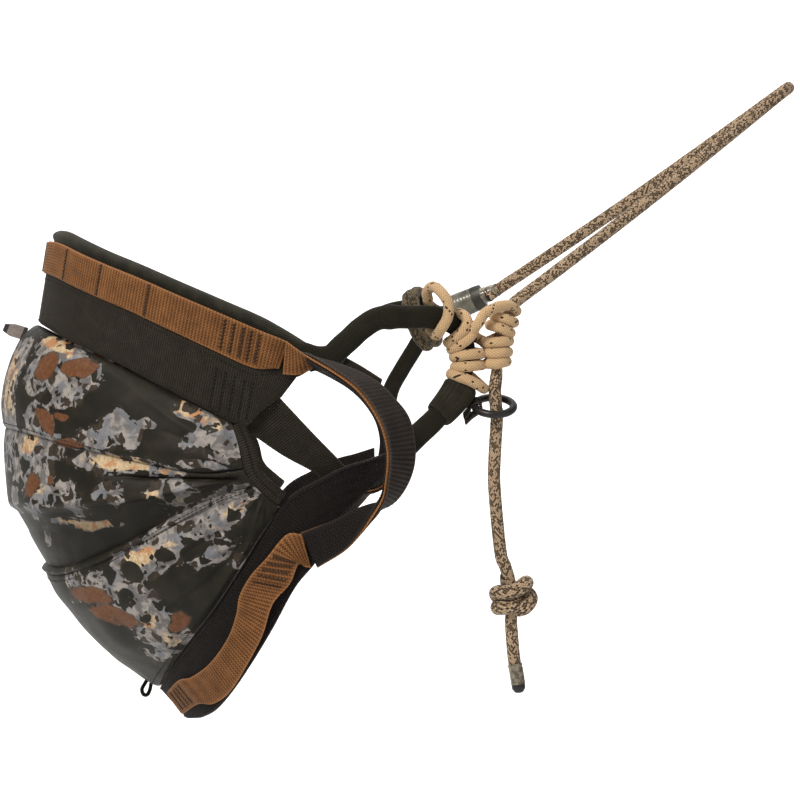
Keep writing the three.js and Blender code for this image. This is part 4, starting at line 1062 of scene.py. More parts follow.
def camo_material():
    T = Tree("camo_cloth", rough=0.48, base=(0.08, 0.07, 0.055), spec=0.24, sheen=0.04, sheen_rough=0.3)
    vec, u, v = T.uv()
    o = T.obj()
    light, rust, cream = T.attr("light"), T.attr("rust"), T.attr("cream")
    big = T.noise(o, 60.0, 2.0, 0.5)
    fine = T.noise(o, 420.0, 4.0, 0.6)
    mid = T.noise(o, 190.0, 2.0, 0.5)
    tone = T.noise(o, 120.0, 4.0, 0.6, distortion=0.5)
    warpv = T.node("ShaderNodeVectorMath")
    warpv.operation = "ADD"
    nc = T.t.nodes.new("ShaderNodeTexNoise")
    nc.inputs["Scale"].default_value = 90.0
    nc.inputs["Detail"].default_value = 1.0
    T.t.links.new(o, nc.inputs["Vector"])
    sc = T.node("ShaderNodeVectorMath")
    sc.operation = "MULTIPLY_ADD"
    T.t.links.new(nc.outputs[1], sc.inputs[0])
    sc.inputs[1].default_value = (0.009, 0.009, 0.009)
    sc.inputs[2].default_value = (-0.0045, -0.0045, -0.0045)
    T.t.links.new(o, warpv.inputs[0])
    T.t.links.new(sc.outputs[0], warpv.inputs[1])
    w = warpv.outputs[0]
    edge = T.voronoi(w, 88.0, "DISTANCE_TO_EDGE", 0.85)
    cellv = T.voronoi(w, 88.0, "F1", 0.85, out=1)
    sep = T.t.nodes.new("ShaderNodeSeparateColor")
    T.t.links.new(cellv, sep.inputs[0])
    rnd, rnd2 = sep.outputs[0], sep.outputs[1]
    # where the light print lies
    inside = T.m("ADD", light, T.m("MULTIPLY", T.m("SUBTRACT", big, 0.5), 0.8))
    inside = T.m("ADD", inside, T.m("MULTIPLY", T.m("SUBTRACT", mid, 0.5), 0.55))
    body = T.step(inside, 0.40, 0.44)
    core = T.step(inside, 0.80, 1.00)
    # the print is a net: round cells of the dark ground show through it, most of all near its border
    nearb = T.m("SUBTRACT", 1.0, core)
    wall = T.m("ADD", 0.100, T.m("MULTIPLY", core, 0.07))
    hole1 = T.step(T.m("SUBTRACT", edge, wall), -0.006, 0.012)
    pick = T.m("LESS_THAN", rnd, T.m("ADD", 0.20, T.m("MULTIPLY", nearb, 0.48)))
    hole1 = T.m("MULTIPLY", hole1, pick)
    edge2 = T.voronoi(w, 175.0, "DISTANCE_TO_EDGE", 0.8)
    cell2 = T.voronoi(w, 175.0, "F1", 0.8, out=1)
    sep2 = T.t.nodes.new("ShaderNodeSeparateColor")
    T.t.links.new(cell2, sep2.inputs[0])
    hole2 = T.m("MULTIPLY", T.step(edge2, 0.15, 0.19), T.m("LESS_THAN", sep2.outputs[0], T.m("ADD", 0.10, T.m("MULTIPLY", nearb, 0.26))))
    holes = T.m("MAXIMUM", hole1, hole2)
    base = T.mix(T.step(big, 0.35, 0.7), (0.012, 0.011, 0.007), (0.022, 0.019, 0.012))
    base = T.mix(T.m("MULTIPLY", T.step(fine, 0.60, 0.85), 0.25), base, (0.050, 0.042, 0.030))
    grey = T.mix(T.step(tone, 0.42, 0.60), (0.165, 0.158, 0.158), (0.40, 0.375, 0.355))
    grey = T.mix(T.m("MULTIPLY", T.step(T.noise(o, 75.0, 3.0, 0.5), 0.50, 0.60), 0.7), grey, (0.205, 0.222, 0.262))
    grey = T.mix(T.m("MULTIPLY", T.step(fine, 0.52, 0.72), 0.40), grey, (0.135, 0.110, 0.090))
    crm = T.mix(T.step(fine, 0.38, 0.66), (0.72, 0.58, 0.38), (0.52, 0.36, 0.21))
    crm = T.mix(T.step(T.noise(o, 110.0, 3.0, 0.55), 0.50, 0.60), crm, (0.56, 0.27, 0.12))
    fcream = T.step(T.m("ADD", cream, T.m("MULTIPLY", T.m("SUBTRACT", tone, 0.5), 1.4)), 0.60, 0.90)
    print_ = T.mix(fcream, grey, crm)
    brown = T.mix(T.step(fine, 0.35, 0.7), (0.034, 0.027, 0.020), (0.062, 0.046, 0.033))
    rustc = T.mix(T.step(fine, 0.3, 0.75), (0.130, 0.048, 0.018), (0.215, 0.092, 0.042))
    hole_col = T.mix(T.m("LESS_THAN", rnd2, 0.5), base, brown)
    lightc = T.mix(holes, print_, hole_col)
    col = T.mix(body, base, lightc)
    rf = T.m("ADD", rust, T.m("MULTIPLY", T.m("SUBTRACT", mid, 0.5), 0.5))
    frust = T.step(rf, 0.52, 0.56)
    rim = T.m("MULTIPLY", T.step(rf, 0.40, 0.44), T.m("SUBTRACT", 1.0, frust))
    col = T.mix(T.m("MULTIPLY", rim, 0.85), col, (0.060, 0.040, 0.026))
    col = T.mix(frust, col, rustc)
    # small loose spots of print round the patches, and a faint brown bloom on the ground
    spot = T.voronoi(w, 210.0, "F1", 1.0)
    spot = T.m("MULTIPLY", T.m("SUBTRACT", 1.0, T.step(spot, 0.17, 0.21)), T.m("LESS_THAN", T.m("ADD", sep2.outputs[1], 0.0), 0.5))
    ring = T.m("MULTIPLY", T.step(inside, 0.14, 0.20), T.m("SUBTRACT", 1.0, body))
    col = T.mix(T.m("MULTIPLY", spot, T.m("MULTIPLY", ring, 0.85)), col, (0.22, 0.215, 0.22))
    col = T.mix(T.m("MULTIPLY", T.m("MULTIPLY", T.step(inside, 0.10, 0.36), T.m("SUBTRACT", 1.0, body)), T.m("MULTIPLY", T.step(tone, 0.48, 0.60), 0.5)), col, (0.060, 0.046, 0.034))
    # painted shade: creases, seam hollows and the hollow under the pleat are painted near-black
    painted_crease_shade = T.attr("crease_shade")
    col = T.mix(T.m("MULTIPLY", painted_crease_shade, 0.75), col, (0.008, 0.007, 0.006))
    # twill: fine diagonal rib
    tw = T.m("SINE", T.m("MULTIPLY", T.m("ADD", u, v), 2 * math.pi / 0.0009))
    tw2 = T.m("SINE", T.m("MULTIPLY", T.m("SUBTRACT", u, v), 2 * math.pi / 0.0011))
    hh = T.m("ADD", T.m("MULTIPLY", tw, 0.5), T.m("MULTIPLY", tw2, 0.25))
    rough = T.m("ADD", 0.40, T.m("MULTIPLY", fine, 0.16))
    return T.out(col, rough, T.bump(hh, 0.00012, 0.6))


CAMO = camo_material()

# folds in the side view: polyline, half width, height in mm, kind
RADIAL = [
    ([(246, 462), (215, 440), (170, 418)], 7, 1.8), ([(246, 468), (205, 455), (160, 448)], 6, 1.3), ([(240, 455), (222, 428), (196, 404)], 6, 1.4),
    ([(256, 492), (215, 520), (165, 548), (120, 575)], 8, 2.6), ([(262, 500), (232, 535), (196, 566), (150, 590)], 10, 3.0), ([(266, 508), (250, 545), (222, 590), (190, 625)], 9, 2.2),
    ([(120, 590), (150, 625), (175, 655)], 9, 1.4), ([(80, 590), (105, 615), (135, 650)], 8, 1.5),
    ([(60, 345), (48, 375), (45, 410)], 9, 1.2), ([(28, 470), (40, 500), (55, 520)], 8, 1.2), ([(190, 405), (150, 400), (110, 400)], 12, 1.0),
]
VALLEY = [([(93, 474), (140, 478), (185, 479), (238, 480)], 3.2, 5.5), ([(240, 470), (205, 448), (168, 432)], 3.0, 1.6), ([(258, 497), (224, 528), (180, 556), (140, 580)], 4.0, 2.2), ([(264, 506), (242, 542), (210, 578), (170, 606)], 4.0, 2.0)]


def cloth_height(A, T_, P):
    uv = side_plane(P)
    h = np.zeros(A.shape)
    crease_shade = np.zeros(A.shape)
    for line, w, amp in RADIAL:
        d, s, _ = polydist(uv, line)
        h += amp * np.exp(-(d / w) ** 2) * np.sin(np.clip(s, 0.02, 0.98) * math.pi) ** 0.6
    for line, w, amp in VALLEY:
        d, s, _ = polydist(uv, line)
        g = np.exp(-(d / w)) * np.clip(s * 3.0, 0, 1)
        h -= amp * g
        # painted shade: the bottoms of the valley creases are marked for darkening
        crease_shade = np.maximum(crease_shade, g ** 2 * min(1.0, amp / 5))
    h += 0.55 * vnoise(P, 26.0, 5) + 0.25 * vnoise(P, 11.0, 6)
    # tension creases that fan out from the hip, where all the panels are gathered
    d = uv - (266.0, 486.0)
    r = np.linalg.norm(d, axis=-1)
    phi = np.arctan2(d[..., 1], -d[..., 0])
    z = np.zeros_like(r)
    w1 = vnoise(np.stack([phi * 7.0, r / 85.0, z], -1), 1.0, 3)
    w2 = vnoise(np.stack([phi * 17.0, r / 60.0, z + 4], -1), 1.0, 6)
    ridge = 1 - 2 * np.abs(w1)
    h += (1.5 * ridge * np.exp(-r / 120.0) + 0.75 * w2 * np.exp(-r / 85.0)) * np.clip(r / 25.0, 0, 1)
    # painted shade: the troughs between the hip creases are marked for darkening
    crease_shade = np.maximum(crease_shade, 0.45 * np.clip(-ridge - 0.25, 0, 1) * np.exp(-r / 120.0))
    # slack waves across the seat
    h += 0.8 * vnoise(P * (1.0, 0.45, 1.6), 30.0, 12)
    return h, crease_shade


def panel(name, t0, t1, shape, node):
    A, T_, P, N, U, V = surface_grid(seat, -7.74, 7.74, t0, t1, 1.7, 1.5)
    h, crease_shade = cloth_height(A, T_, P)
    W = V[:, -1:] / S
    x = V / S
    hh, gg = shape(A, T_, P, x, W)
    fade = np.clip((7.74 - np.abs(A)) / 0.35, 0, 1)
    fade = fade * fade * (3 - 2 * fade)
    pucker = 0.42 * vnoise(np.stack([U / S / 5.5, x / 30.0, x * 0], -1), 1.0, 2) * (np.exp(-x / 7.0) + np.exp(-(W - x) / 7.0))
    off = (h * np.clip(np.minimum(x, W - x) / 5.0, 0.15, 1) + hh + pucker) * (0.25 + 0.75 * fade)
    er = edge_round(x, W, 1.6)
    pinch = np.clip((7.74 - np.abs(A)) / 0.3, 0, 1)
    top = P + N * (-1.6 + (1.6 + 0.4 + off) * (0.2 + 0.8 * er))[..., None]
    low = P + N * np.minimum(-3.2 + 0.0 * off, -3.0 + off * 0.8)[..., None]
    at = camo_attrs(P)
    # painted shade from the creases and seam hollows
    at["crease_shade"] = np.clip(crease_shade + gg, 0, 1)
    ob = sheet_mesh(name, top, low, U, V, CAMO, attrs=at)
    ride(ob, "harness", "camo_cloth", node)
    area = float(np.sum(np.linalg.norm(np.cross(np.diff(P, axis=0)[:, :-1], np.diff(P, axis=1)[:-1]), axis=-1))) * S * S
    return ob, area, (float(U.max()), float(V.max())), (A, T_, P, N, off)


def upper_shape(A, T_, P, x, W):
    q = x / W
    h = 3.6 * np.sin(math.pi * q) ** 0.8 - 1.2 * np.exp(-x / 2.5) - 1.6 * np.exp(-(W - x) / 2.2)
    # painted shade along both seams of the panel
    g = 0.9 * np.exp(-(W - x) / 1.1) + 0.5 * np.exp(-x / 2.0)
    return h, g


def middle_shape(A, T_, P, x, W):
    aa = np.abs(A)
    q = np.clip(T_ - 3.0, 0, 2)                     # 0 seam 1, 1 fold, 2 seam 3
    hip = np.clip(aa / 7.7, 0, 1)
    fold = 5.0 + 2.0 * np.sin(hip * math.pi) - 3.5 * hip ** 4
    rise = np.interp(q, [0, 0.25, 0.55, 0.85, 1.0, 1.06, 1.16, 1.45, 1.8, 2.0], [-1.6, 0.9, 1.9, 3.6, 5.0, 4.6, 0.6, -2.4, -3.4, -3.6])
    h = rise * fold / 6.0
    # painted shade along both seams and in the hollow under the pleat fold, which faces down
    g = 0.9 * np.exp(-x / 1.2) + 0.9 * np.exp(-(W - x) / 3.0)
    g = np.maximum(g, np.interp(q, [1.04, 1.12, 1.5, 2.0], [0.0, 0.55, 0.75, 0.9]) * np.clip(aa / 3, 0.3, 1))
    return h, g


def lower_shape(A, T_, P, x, W):
    q = x / W
    h = 4.2 * np.sin(math.pi * np.clip(q, 0, 1)) ** 0.75
    piping = 1.5 * np.exp(-((x - 2.2) / 2.0) ** 2) - 1.1 * np.exp(-((x - 5.4) / 0.9) ** 2)
    h = h + piping - 1.4 * np.exp(-(W - x) / 3.0)
    # painted shade in the groove behind the piping
    g = 0.7 * np.exp(-((x - 5.4) / 0.7) ** 2)
    return h, g


panel_u, au, fu, gu = panel("camo_panel_upper", 0.06, 3.0, upper_shape, "seat_panel_upper")
panel_m, am, fm, gm = panel("camo_panel_middle", 3.0, 5.0, middle_shape, "seat_panel_middle")
panel_l, al, fl_, gl = panel("camo_panel_lower", 4.97, 7.0, lower_shape, "seat_panel_lower")


def off_of(g):
    """Height of a finished panel over its surface at any place."""
    A, T_, P, N, off = g
    a, t = A[:, 0], T_[0]

    def f(x, y):
        i = np.clip(np.interp(x, a, np.arange(len(a))), 0, len(a) - 1)
        j = np.clip(np.interp(y, t, np.arange(len(t))), 0, len(t) - 1)
        i0, j0 = np.minimum(i.astype(int), len(a) - 2), np.minimum(j.astype(int), len(t) - 2)
        p, q = i - i0, j - j0
        return off[i0, j0] * (1 - p) * (1 - q) + off[i0 + 1, j0] * p * (1 - q) + off[i0, j0 + 1] * (1 - p) * q + off[i0 + 1, j0 + 1] * p * q + 0.4
    return f


rows = []
rows += stitch_row(seat, [(a, 2.90) for a in np.linspace(-7.6, 7.6, 40)], off_of(gu))
rows += stitch_row(seat, [(a, 5.055) for a in np.linspace(-7.6, 7.6, 40)], off_of(gl))
rows += stitch_row(seat, [(a, 5.135) for a in np.linspace(-7.6, 7.6, 40)], off_of(gl))
rows += stitch_row(seat, [(a, 6.9) for a in np.linspace(-7.6, 7.6, 40)], off_of(gl))
ride(stitches("panel_topstitching", rows, STITCH, r=0.33), "harness", "camo_cloth")

# lining
T = Tree("lining_mesh", rough=0.85, base=(0.015, 0.015, 0.013), spec=0.2, sheen=0.1)
vec, u, v = T.uv()
cell = T.voronoi(vec, 420.0, "F1", 0.25)
LINING = T.out(T.mix(T.step(cell, 0.25, 0.6), (0.006, 0.006, 0.005), (0.034, 0.032, 0.028)), None, T.bump(cell, 0.0006, 0.9))
A, T_, P, N, U, V = surface_grid(seat, -7.78, 7.78, 0.2, 6.9, 3.0, 3.0)
puff = 0.9 * np.abs(np.sin(U / S * math.pi / 62.0)) ** 0.6 * np.abs(np.sin(V / S * math.pi / 62.0)) ** 0.6
lining = sheet_mesh("lining_cloth", P + N * (-4.3), P + N * (-6.3 - puff)[..., None], U, V, LINING)
ride(lining, "harness", "lining_cloth", "seat_lining")

# ----------------------------------------------------------------------------
# belt
# ----------------------------------------------------------------------------
A, T_, P, N, U, V = surface_grid(belt, -10.0, 10.0, 0.0, 1.0, 2.0, 1.5)
W = V[:, -1:] / S
x = V / S
lip = np.exp(-((x - 4.5) / 4.2) ** 2)
er = edge_round(x, W, 4.5)
outer = -3.1 + 2.6 * lip * np.clip((W - x) / 20, 0, 1)
inner = -8.9 - 1.4 * np.abs(np.sin(x / W * math.pi * 3)) ** 0.7 + 0.0 * x
midl = (outer + inner) / 2
top = P + N * (midl + (outer - midl) * er)[..., None]
low = P + N * (midl + (inner - midl) * er)[..., None]
T = Tree("pad_cloth", rough=0.78, base=(0.028, 0.027, 0.018), spec=0.25, sheen=0.2)
vec, u, v = T.uv()
tw = T.m("SINE", T.m("MULTIPLY", T.m("ADD", u, v), 2 * math.pi / 0.0016))
nz = T.noise(vec, 110.0, 4.0)
pcol = T.mix(T.step(T.m("ADD", T.m("MULTIPLY", tw, 0.18), nz), 0.25, 0.8), (0.012, 0.012, 0.008), (0.040, 0.038, 0.025))
# painted shade: a near-black line is painted along the pad just below its lip, where shade falls
PAD = T.out(T.mix(T.attr("crease_shade"), pcol, (0.006, 0.006, 0.004)), None, T.bump(tw, 0.0002, 0.6))
pad = sheet_mesh("belt_pad_cloth", top, low, U, V, PAD, attrs={"crease_shade": 0.6 * np.exp(-np.abs(x - 9.6) / 0.8)})
ride(pad, "harness", "pad_cloth", "belt_pad")

web_belt = web_on("belt_webbing_cloth", belt, -10.0, 10.0, 0.2, 1.0, -2.6, 0.0, DARK, du=0.9, dv=1.6, rib=0.18, pitch=1.9)
ride(web_belt, "harness", "dark_webbing", "belt_webbing")
DA = 9.08


def daisy_lift(A, T_, P, U, x):
    """The brown webbing rises a little between its tacks."""
    p = side_plane(P)[..., 0]
    knots = np.array([-200, -60, 68, 101, 148, 222, 262])
    aa = np.abs(A)
    place = np.interp(aa, TACK_A_GRID, TACK_U_GRID)
    edges = np.array([-1e3, *TACKS, 1e3])
    i = np.clip(np.searchsorted(TACKS, aa), 0, len(TACKS))
    lo = np.where(i > 0, np.array([-TACKS[0], *TACKS])[i], -TACKS[0])
    hi = np.where(i < len(TACKS), np.array([*TACKS, 9.0])[np.minimum(i, len(TACKS))], 9.0)
    q = np.clip((aa - lo) / np.maximum(hi - lo, 1e-6), 0, 1)
    return 0.9 * np.sin(math.pi * q) ** 0.8 * ((hi - lo) > 0.8)


aa = np.linspace(0, 10, 200)
TACK_A_GRID = aa
TACK_U_GRID = side_plane(belt(aa, np.full(200, 0.3)))[..., 0]


def a_at(px):
    """Place round the belt whose side view lies at px."""
    k = np.argmin(TACK_U_GRID)
    return float(np.interp(px, TACK_U_GRID[k:], aa[k:]))


single = [a_at(68), a_at(101), a_at(148)]
pitch_a = None
group5 = [a_at(p) for p in (223, 232, 241, 249, 257)]
# the same spacing carries on round the back
s_belt = arc(belt(aa, np.full(200, 0.3)))
s1 = [float(np.interp(a, aa, s_belt)) for a in single]
back = [s for s in (s1[0] - 63.0, s1[0] - 126.0) if s > 8]
TACKS = np.array(sorted([float(np.interp(s, s_belt, aa)) for s in back] + single + [a_at(195)] + [group5[0], group5[-1]]))
daisy = web_on("daisy_webbing", belt, -DA, DA, 0.13, 0.47, 0.55, 2.5, BROWN, du=0.7, dv=1.4, rib=0.3, pitch=2.6, extra=daisy_lift)
ride(daisy, "harness", "brown_webbing", "belt_daisy_chain")
rows = []
for sgn in (1, -1):
    for a in TACKS[(TACKS < a_at(190))]:
        rows += tack(belt, sgn * a, 0.145, 0.455, 2.75, width=1.6, n=18)
    for a in group5:
        rows += tack(belt, sgn * a, 0.165, 0.435, 2.75, width=2.6, n=16)
ride(stitches("daisy_bar_tacks", rows, BTHREAD, r=0.42), "harness", "brown_webbing")
rows = []
for sgn in (1, -1):
    for p in (222, 231, 240, 250, 259):
        rows += tack(belt, sgn * a_at(p) , 0.60, 0.95, 0.25, width=2.4, n=20)
ride(stitches("belt_bar_tacks", rows, STITCH, r=0.4), "harness", "dark_webbing")
rows = []
rows += stitch_row(belt, [(a, 0.235) for a in np.linspace(-9.8, 9.8, 50)], 0.1)
rows += stitch_row(belt, [(a, 0.965) for a in np.linspace(-9.8, 9.8, 50)], 0.1)
rows += stitch_row(belt, [(a, 0.525) for a in np.linspace(-9.8, 9.8, 50)], 0.1)
ride(stitches("belt_edge_stitching", rows, STITCH, r=0.3), "harness", "dark_webbing")

# ----------------------------------------------------------------------------
# seat webbing, hip bindings, risers
# ----------------------------------------------------------------------------
web_seat = web_on("seat_webbing_cloth", leg, -12.0, 12.0, 0.01, 1.0, -2.5, 0.0, SPECK, du=0.9, dv=1.6, rib=0.25, pitch=2.4)
ride(web_seat, "harness", "dark_webbing", "seat_webbing")
rows = stitch_row(leg, [(a, 0.06) for a in np.linspace(-11.8, 11.8, 60)], 0.1)
rows += stitch_row(leg, [(a, 0.93) for a in np.linspace(-11.8, 11.8, 60)], 0.1)
ride(stitches("seat_webbing_stitching", rows, STITCH, r=0.3), "harness", "dark_webbing")

for sgn, side_name in ((1, "near"), (-1, "far")):
    tt = np.linspace(0.08, 6.7, 60)
    e = seat(np.full(60, sgn * 7.9), tt)
    n_ = normals(seat, np.full(60, sgn * 7.9), tt)
    P, s = smooth_path(e + n_ * -2.0, 1.0)
    k = np.interp(np.linspace(0, 1, len(P)), np.linspace(0, 1, 60), np.arange(60))
    wid = 6.2 + 0.35 * np.sin(s / 9.0) + 0.25 * np.sin(s / 4.1 + 1)
    # flat oval along the edge: wide along the cloth, thin through it
    t_, u_, v_ = tframes(P, n_[0])
    nn = np.stack([np.interp(k, np.arange(60), n_[:, c]) for c in range(3)], -1)
    nn = unit(nn - t_ * np.sum(nn * t_, -1, keepdims=True))
    ww = np.cross(t_, nn)
    th = 2 * math.pi * np.arange(28) / 28
    cx = np.sign(np.cos(th)) * np.abs(np.cos(th)) ** 0.8
    sx = np.sign(np.sin(th)) * np.abs(np.sin(th)) ** 0.8
    ringv = P[:, None] + nn[:, None] * (3.3 * cx)[None, :, None] + ww[:, None] * (wid[:, None] * sx[None])[..., None]
    n_r, sides = len(P), 28
    i, j = np.meshgrid(np.arange(n_r - 1), np.arange(sides), indexing="ij")
    q0, q1 = (i * sides + j).ravel(), (i * sides + (j + 1) % sides).ravel()
    F = np.stack([q0, q1, q1 + sides, q0 + sides], -1)
    V_ = np.concatenate([ringv.reshape(-1, 3), P[:1], P[-1:]])
    idx = np.arange(0, sides, 2)
    c0 = np.stack([idx, (idx + 1) % sides, (idx + 2) % sides, np.full(len(idx), n_r * sides)], -1)[:, ::-1]
    b0 = (n_r - 1) * sides
    c1 = np.stack([b0 + idx, b0 + (idx + 1) % sides, b0 + (idx + 2) % sides, np.full(len(idx), n_r * sides + 1)], -1)
    F = np.concatenate([F, c0, c1])
    if not outward(V_, F):
        F = F[:, ::-1]
    uvv = np.concatenate([np.stack(np.broadcast_arrays(s[:, None] * S, (np.arange(sides) * 0.9 * S)[None]), -1).reshape(-1, 2), np.zeros((2, 2))])
    at = {"wear": np.zeros(len(V_)), "crease_shade": np.zeros(len(V_))}
    bind = build(side_name + "_hip_edge_tape", V_, F, vert_uv=uvv, mat=DARK, attrs=at)
    ride(bind, "harness", "dark_webbing", side_name + "_hip_binding")


def ribbon(name, rowA, rowB, mat, lo, hi, t0=0.0, t1=None, du=0.7, nv=14, rib=0.0, pitch=3.0, grow=(0.0, 0.0), lift=None, crown=0.0, taper=0.0, r=0.9):
    """Webbing between two rows of edge points; lo and hi are offsets along its own normal."""
    rowA, rowB = np.asarray(rowA, float), np.asarray(rowB, float)
    n = len(rowA) - 1
    t1 = n if t1 is None else t1
    k = np.linspace(t0, t1, 400)
    s = arc((cr(rowA, k) + cr(rowB, k)) / 2)
    m = max(4, int(round(s[-1] / du)) + 1)
    k = np.interp(np.linspace(0, s[-1], m), s, k)
    a, b = cr(rowA, k), cr(rowB, k)
    mid = (a + b) / 2
    tan = unit(np.gradient(mid, axis=0))
    w = b - a
    wl = np.linalg.norm(w, axis=1, keepdims=True)
    wd = w / wl
    nn = unit(np.cross(tan, w))
    q = np.linspace(0, 1, nv)
    span = wl + grow[0] + grow[1]
    x = q[None] * span
    Pm = a[:, None] + wd[:, None] * (x - grow[0])[..., None]
    sl = np.linspace(0, s[-1], m)
    U = np.repeat(sl[:, None], nv, 1)
    h = np.zeros_like(x)
    if rib:
        h = -rib * (0.5 - 0.5 * np.cos(2 * math.pi * U / pitch)) * np.clip((np.minimum(x, span - x) - 0.8) / 0.8, 0, 1)
    h = h + crown * np.sin(math.pi * q)[None]
    L = lift(sl)[:, None] if lift else 0.0
    er = edge_round(x, span, r)
    mo = (lo + hi) / 2
    top = Pm + nn[:, None] * (mo + (hi - mo + h) * (0.3 + 0.7 * er) + L)[..., None]
    low = Pm + nn[:, None] * (mo + (lo - mo - h * (1 if lo < 0 else 0.5)) * (0.3 + 0.7 * er) + L)[..., None]
    at = {"wear": 0.8 * np.exp(-np.minimum(x, span - x) / 0.9), "crease_shade": np.zeros_like(x)}
    ob = sheet_mesh(name, top, low, U * S, x * S, mat, attrs=at)
    return ob, (k, a, b, nn, tan, wd, wl)


def ribbon_pt(rowA, rowB, t, q, off):
    a, b = cr(rowA, np.array([t]))[0], cr(rowB, np.array([t]))[0]
    e = 0.02
    m0 = (cr(rowA, np.array([t - e]))[0] + cr(rowB, np.array([t - e]))[0]) / 2
    m1 = (cr(rowA, np.array([t + e]))[0] + cr(rowB, np.array([t + e]))[0]) / 2
    tan = unit(m1 - m0)
    nn = unit(np.cross(tan, b - a))
    return a + (b - a) * q + nn * off, nn, tan


def ribbon_tack(rowA, rowB, t, q0, q1, off, width=2.2, n=16):
    out = []
    for k in range(n):
        pa, na, ta = ribbon_pt(rowA, rowB, t, q0 + (q1 - q0) * k / n, off)
        pb, nb, tb = ribbon_pt(rowA, rowB, t, q0 + (q1 - q0) * (k + 1) / n, off)
        sg = 1 if k % 2 else -1
        p0, p1 = pa - ta * sg * width / 2, pb + tb * sg * width / 2
        lift = na * np.sign(off) * 0.3
        out.append(np.stack([p0 - lift, (2 * p0 + p1) / 3 + lift, (p0 + 2 * p1) / 3 + lift, p1 - lift]))
    return out


def reach(row_, k):
    """A row carried on a little before its first point."""
    p0, p1 = np.array(row_[0]), np.array(row_[1])
    return [(p0 + (p0 - p1) * k).tolist()] + [list(p) for p in row_]


for A_, B_, nm in ((reach(RISER_A, 0.45), reach(RISER_B, 0.45), "near"), (reach(FRISER_A, 0.3), reach(FRISER_B, 0.3), "far")):
    ob, _ = ribbon(nm + "_riser_webbing", A_, B_, DARK, -1.2, 1.2, nv=26, rib=0.15, pitch=2.4)
    ride(ob, "harness", "dark_webbing", nm + "_riser")

mir = lambda rows_: (np.asarray(rows_, float) * (1, -1, 1)).tolist()
for nm, Ai, Ao in (("near", GEAR_IN, GEAR_OUT), ("far", mir(GEAR_OUT), mir(GEAR_IN))):
    ob, _ = ribbon(nm + "_gear_webbing", Ai, Ao, BROWN, -0.9, 0.9, nv=18, rib=0.34, pitch=3.2, crown=0.3)
    ride(ob, "harness", "brown_webbing", nm + "_gear_loop")
    rows = []
    side_ = 1 if ribbon_pt(Ai, Ao, 5, 0.5, 1)[1] @ np.array([0, -1 if nm == "near" else 1, 0]) > 0 else -1
    for t in (0.22, 0.42, 0.62, 0.82):
        rows += ribbon_tack(Ai, Ao, t, 0.14, 0.86, side_ * 1.1, width=2.2, n=14)
    for t in (6.75, 7.1, 7.45, 7.8, 8.15):
        rows += ribbon_tack(Ai, Ao, t, 0.14, 0.86, side_ * 1.1, width=2.2, n=14)
    ride(stitches(nm + "_gear_tacks", rows, BTHREAD, r=0.42), "harness", "brown_webbing")

# ----------------------------------------------------------------------------
# lineman's loops: dark inner, brown middle and ribbed dark outer layers
# ----------------------------------------------------------------------------
for nm, E1, E2, body, sg in (("near", LINE_E1, LINE_E2, "near_side_loop", 1), ("far", FLINE_E1, FLINE_E2, "far_side_loop", -1)):
    o1, o2 = (1.15, 3.4), (-3.4, -1.15)
    outer_o = o1 if sg > 0 else (-o1[1], -o1[0])
    inner_o = o2 if sg > 0 else (-o2[1], -o2[0])
    a1, _ = ribbon(nm + "_side_loop_outer", E1, E2, RIB, outer_o[0], outer_o[1], rib=0.45, pitch=3.2, nv=16, t0=0.0)
    a2, _ = ribbon(nm + "_side_loop_core", E1, E2, BROWN, -1.0, 1.0, rib=0.2, pitch=2.6, nv=16, grow=(0.9, 0.2))
    a3, _ = ribbon(nm + "_side_loop_inner", E1, E2, SPECK, inner_o[0], inner_o[1], rib=0.45, pitch=2.6, nv=16, t0=1.7)
    ride(a1, body, "dark_webbing", nm + "_lineman_loop")
    ride(a2, body, "brown_webbing")
    ride(a3, body, "dark_webbing")

